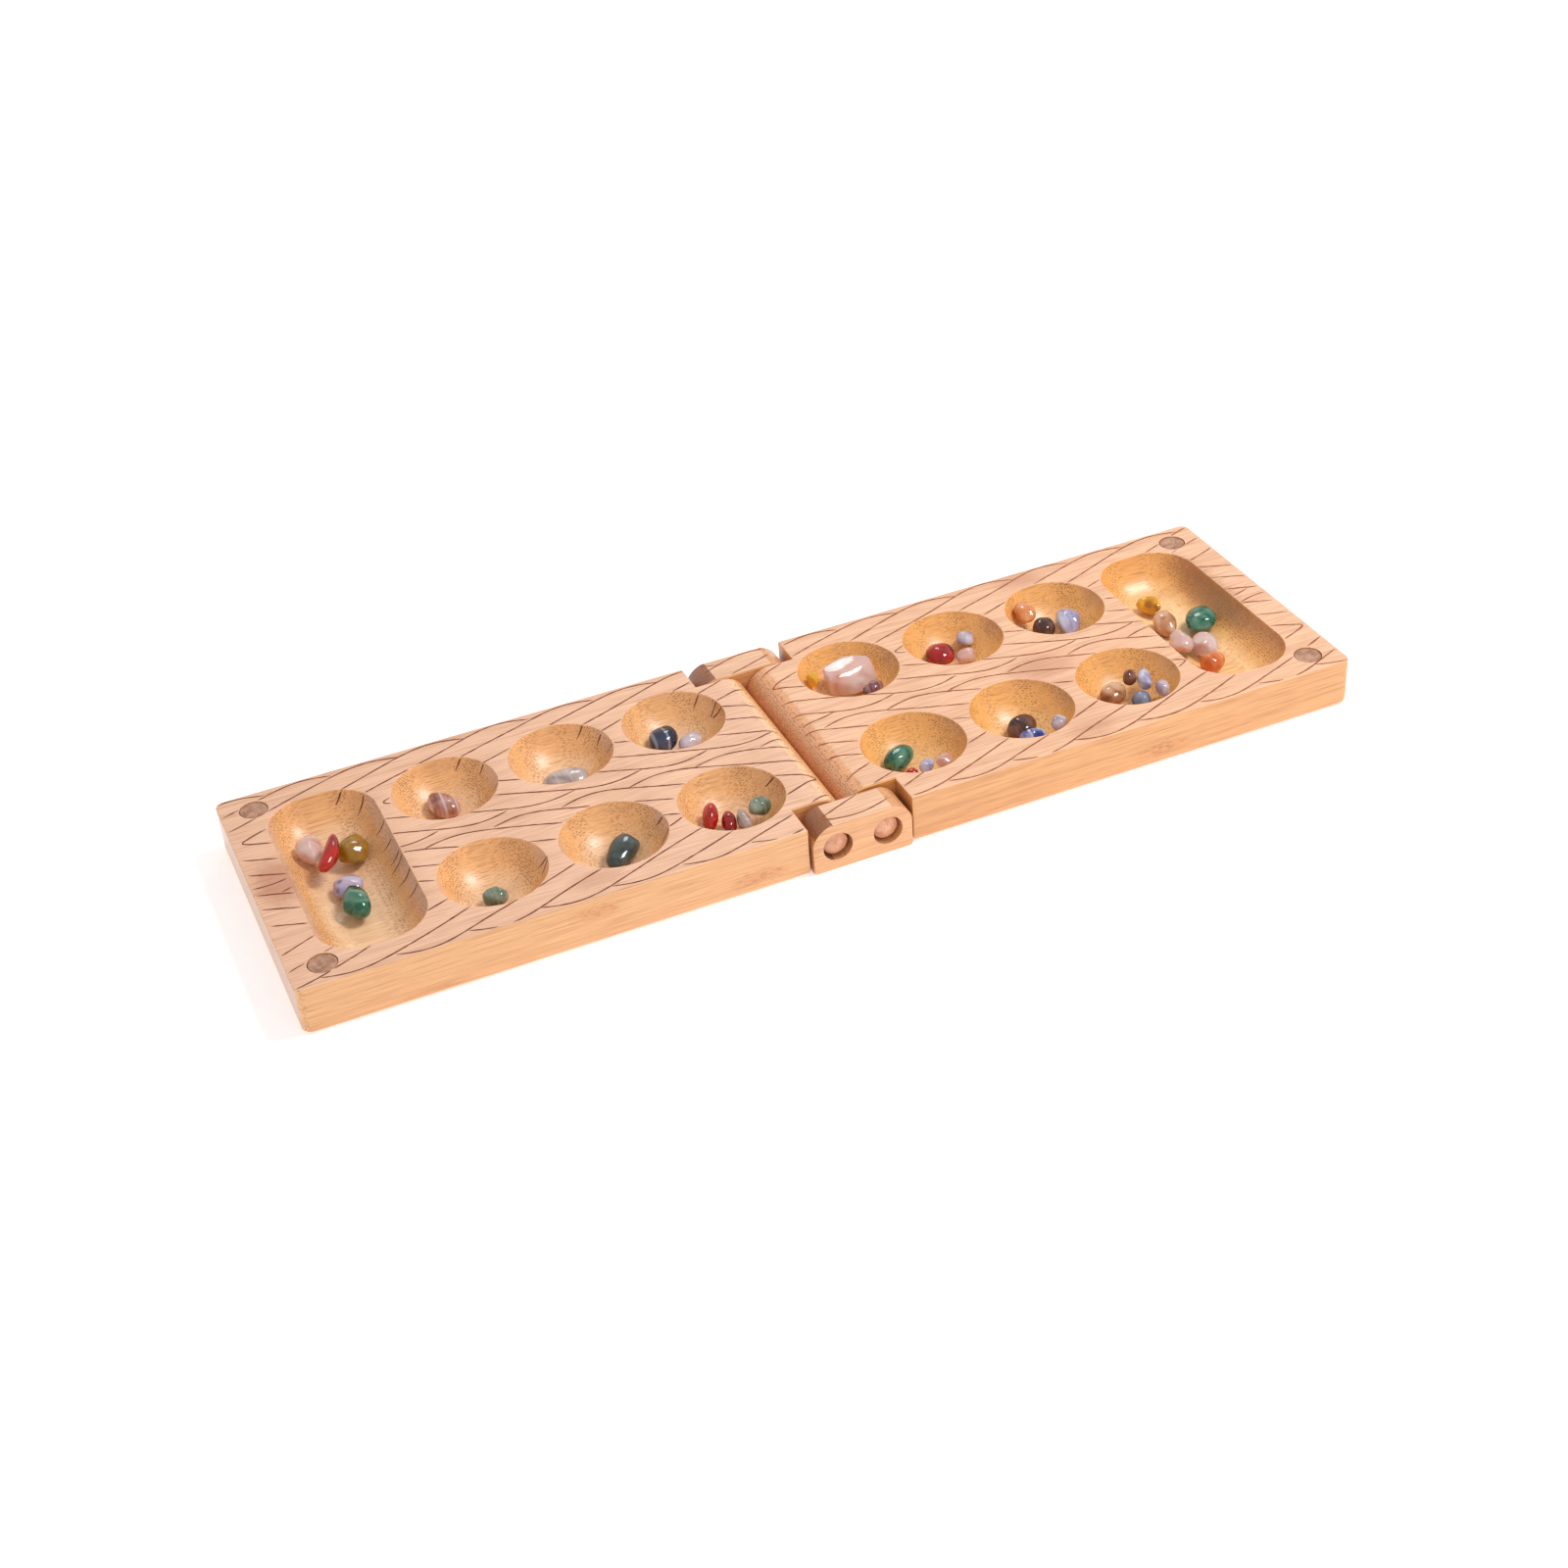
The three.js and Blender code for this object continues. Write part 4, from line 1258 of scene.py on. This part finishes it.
def build_board():
    """Both halves are one shape, the left one turned half a turn about Z."""
    right = make_half("right_half_bamboo")
    left = linked("left_half_bamboo", right.data.copy())
    left.data.transform(Matrix.Rotation(math.pi, 4, "Z"))
    place_piece(right, "right_board", bamboo("bamboo_right", RIGHT_LOOK, (0, 3, 1)))
    place_piece(left, "left_board", bamboo("bamboo_left", LEFT_LOOK, (60, 40, 9)))

    block_material = bamboo("bamboo_block", BLOCK_LOOK, (11, 17, 23))
    for where, sign in (("front", -1), ("back", 1)):
        block = make_block(f"{where}_block", f"{where}_link_block", sign)
        place_piece(block, f"{where}_link_block", block_material)

    peg_material = end_grain(
        "peg_wood", srgb(240, 178, 142), srgb(212, 142, 106), srgb(160, 96, 66), 0.22)
    plug_material = end_grain(
        "plug_wood", srgb(198, 150, 122), srgb(146, 98, 74), srgb(84, 50, 36), 0.6)
    magnet_material = nickel("nickel")
    for side in ("left", "right"):
        for end in ("back", "front"):
            stem = f"{side}_{end}"
            peg = make_peg(f"{stem}_wood_peg", f"{stem}_peg")
            place_piece(peg, f"{stem}_peg", peg_material)
            plug = make_disc(f"{stem}_wood_plug", f"{stem}_plug", 0.25)
            place_piece(plug, f"{stem}_plug", plug_material)
            magnet = make_disc(f"{stem}_disc_magnet", f"{stem}_magnet", 0.3)
            place_piece(magnet, f"{stem}_magnet", magnet_material)


def build_lines():
    """The line work of each half and of the blocks. It stands for no CAD node."""
    left_burn = burnt("burn_left", srgb(98, 40, 18), srgb(138, 70, 38))
    right_burn = burnt("burn_right", srgb(124, 56, 22), srgb(158, 82, 40))
    left_height = partial(
        surface_height, pit_tick=LEFT_PIT_TICK_MM, store_tick=LEFT_STORE_TICK_MM,
    )
    left = make_lines("left_line_work", left_height, LEFT_LINE_WIDTH_MM, lambda x: x < 0)
    right = make_lines("right_line_work", surface_height, RIGHT_LINE_WIDTH_MM, lambda x: x > 0)
    blocks = make_lines("block_line_work", block_height, BLOCK_LINE_WIDTH_MM, lambda x: True)
    for piece, body, material, slot in (
        (left, "left_half", left_burn, "bamboo"),
        (right, "right_half", right_burn, "bamboo"),
        (blocks, "link", right_burn, "link_bamboo"),
    ):
        piece.data.materials.append(material)
        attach(piece, body)


def build_stones():
    """One stone for each CAD stone, with a pattern and flats of its own."""
    stones = [n for n in sorted(frame["nodes"]) if BODY_OF[n].startswith("stones_")]
    for seed, node in enumerate(stones, 1):
        look = STONE_LOOKS[SLOT_OF[node]]
        stone = make_stone(f"{node}_stone", node, seed, look.flatness)
        place_piece(stone, node, stone_material(f"{node}_look", look, seed))


FLOOR_HALF_MM = 60000
FLOOR_DROP_MM = 0.05
FLOOR_GLOW = 0.4

# the world's strength at and below the first height, and from the second height up,
# where the height is that of a direction: 0 is level and 1 is overhead
GLOW_HEIGHTS = (0.12, 0.4)
GLOW_STRENGTHS = (1.0, 0.54)

# name, place in metres, power in watts, size in metres
LAMPS = (
    ("key", (0.85, -0.15, 1.35), 15, 0.45),
    ("fill", (0.1, -1.2, 0.55), 0.8, 0.8),
    ("back", (0.5, 1.25, 1.0), 1.5, 0.3),
)


def make_floor():
    """A pale floor that glows a little, like a lit studio table."""
    bm = bmesh.new()
    bmesh.ops.create_grid(bm, x_segments=2, y_segments=2, size=FLOOR_HALF_MM)
    bmesh.ops.translate(bm, vec=(0, 0, -FLOOR_DROP_MM), verts=bm.verts)
    floor = new_object("floor", bm)
    n = Nodes("floor_white")
    n.set(
        Base_Color=(0.98, 0.98, 0.98, 1), Roughness=0.9, Specular_IOR_Level=0.1,
        Emission_Color=(1, 1, 1, 1), Emission_Strength=FLOOR_GLOW,
    )
    floor.data.materials.append(n.material)


def make_world():
    """White all round: bright at the horizon and softer overhead."""
    world = bpy.data.worlds.new("studio")
    world.use_nodes = True
    tree = world.node_tree
    background = tree.nodes["Background"]
    background.inputs["Color"].default_value = (1, 1, 1, 1)
    place = tree.nodes.new("ShaderNodeTexCoord")
    height = tree.nodes.new("ShaderNodeSeparateXYZ")
    glow = tree.nodes.new("ShaderNodeMapRange")
    glow.inputs["From Min"].default_value, glow.inputs["From Max"].default_value = GLOW_HEIGHTS
    glow.inputs["To Min"].default_value, glow.inputs["To Max"].default_value = GLOW_STRENGTHS
    tree.links.new(place.outputs["Generated"], height.inputs[0])
    tree.links.new(height.outputs["Z"], glow.inputs["Value"])
    tree.links.new(glow.outputs["Result"], background.inputs["Strength"])
    bpy.context.scene.world = world


def make_lamps():
    """Soft square lights that look at the board's middle."""
    for name, place, power, size in LAMPS:
        lamp = linked(name, bpy.data.lights.new(name, "AREA"))
        lamp.data.energy = power
        lamp.data.size = size
        lamp.location = place
        lamp.rotation_euler = (-Vector(place)).to_track_quat("-Z", "Y").to_euler()


def build_studio():
    make_floor()
    make_world()
    make_lamps()
    bpy.context.scene.view_settings.view_transform = "Standard"


make_camera()
build_board()
build_lines()
build_stones()
build_studio()
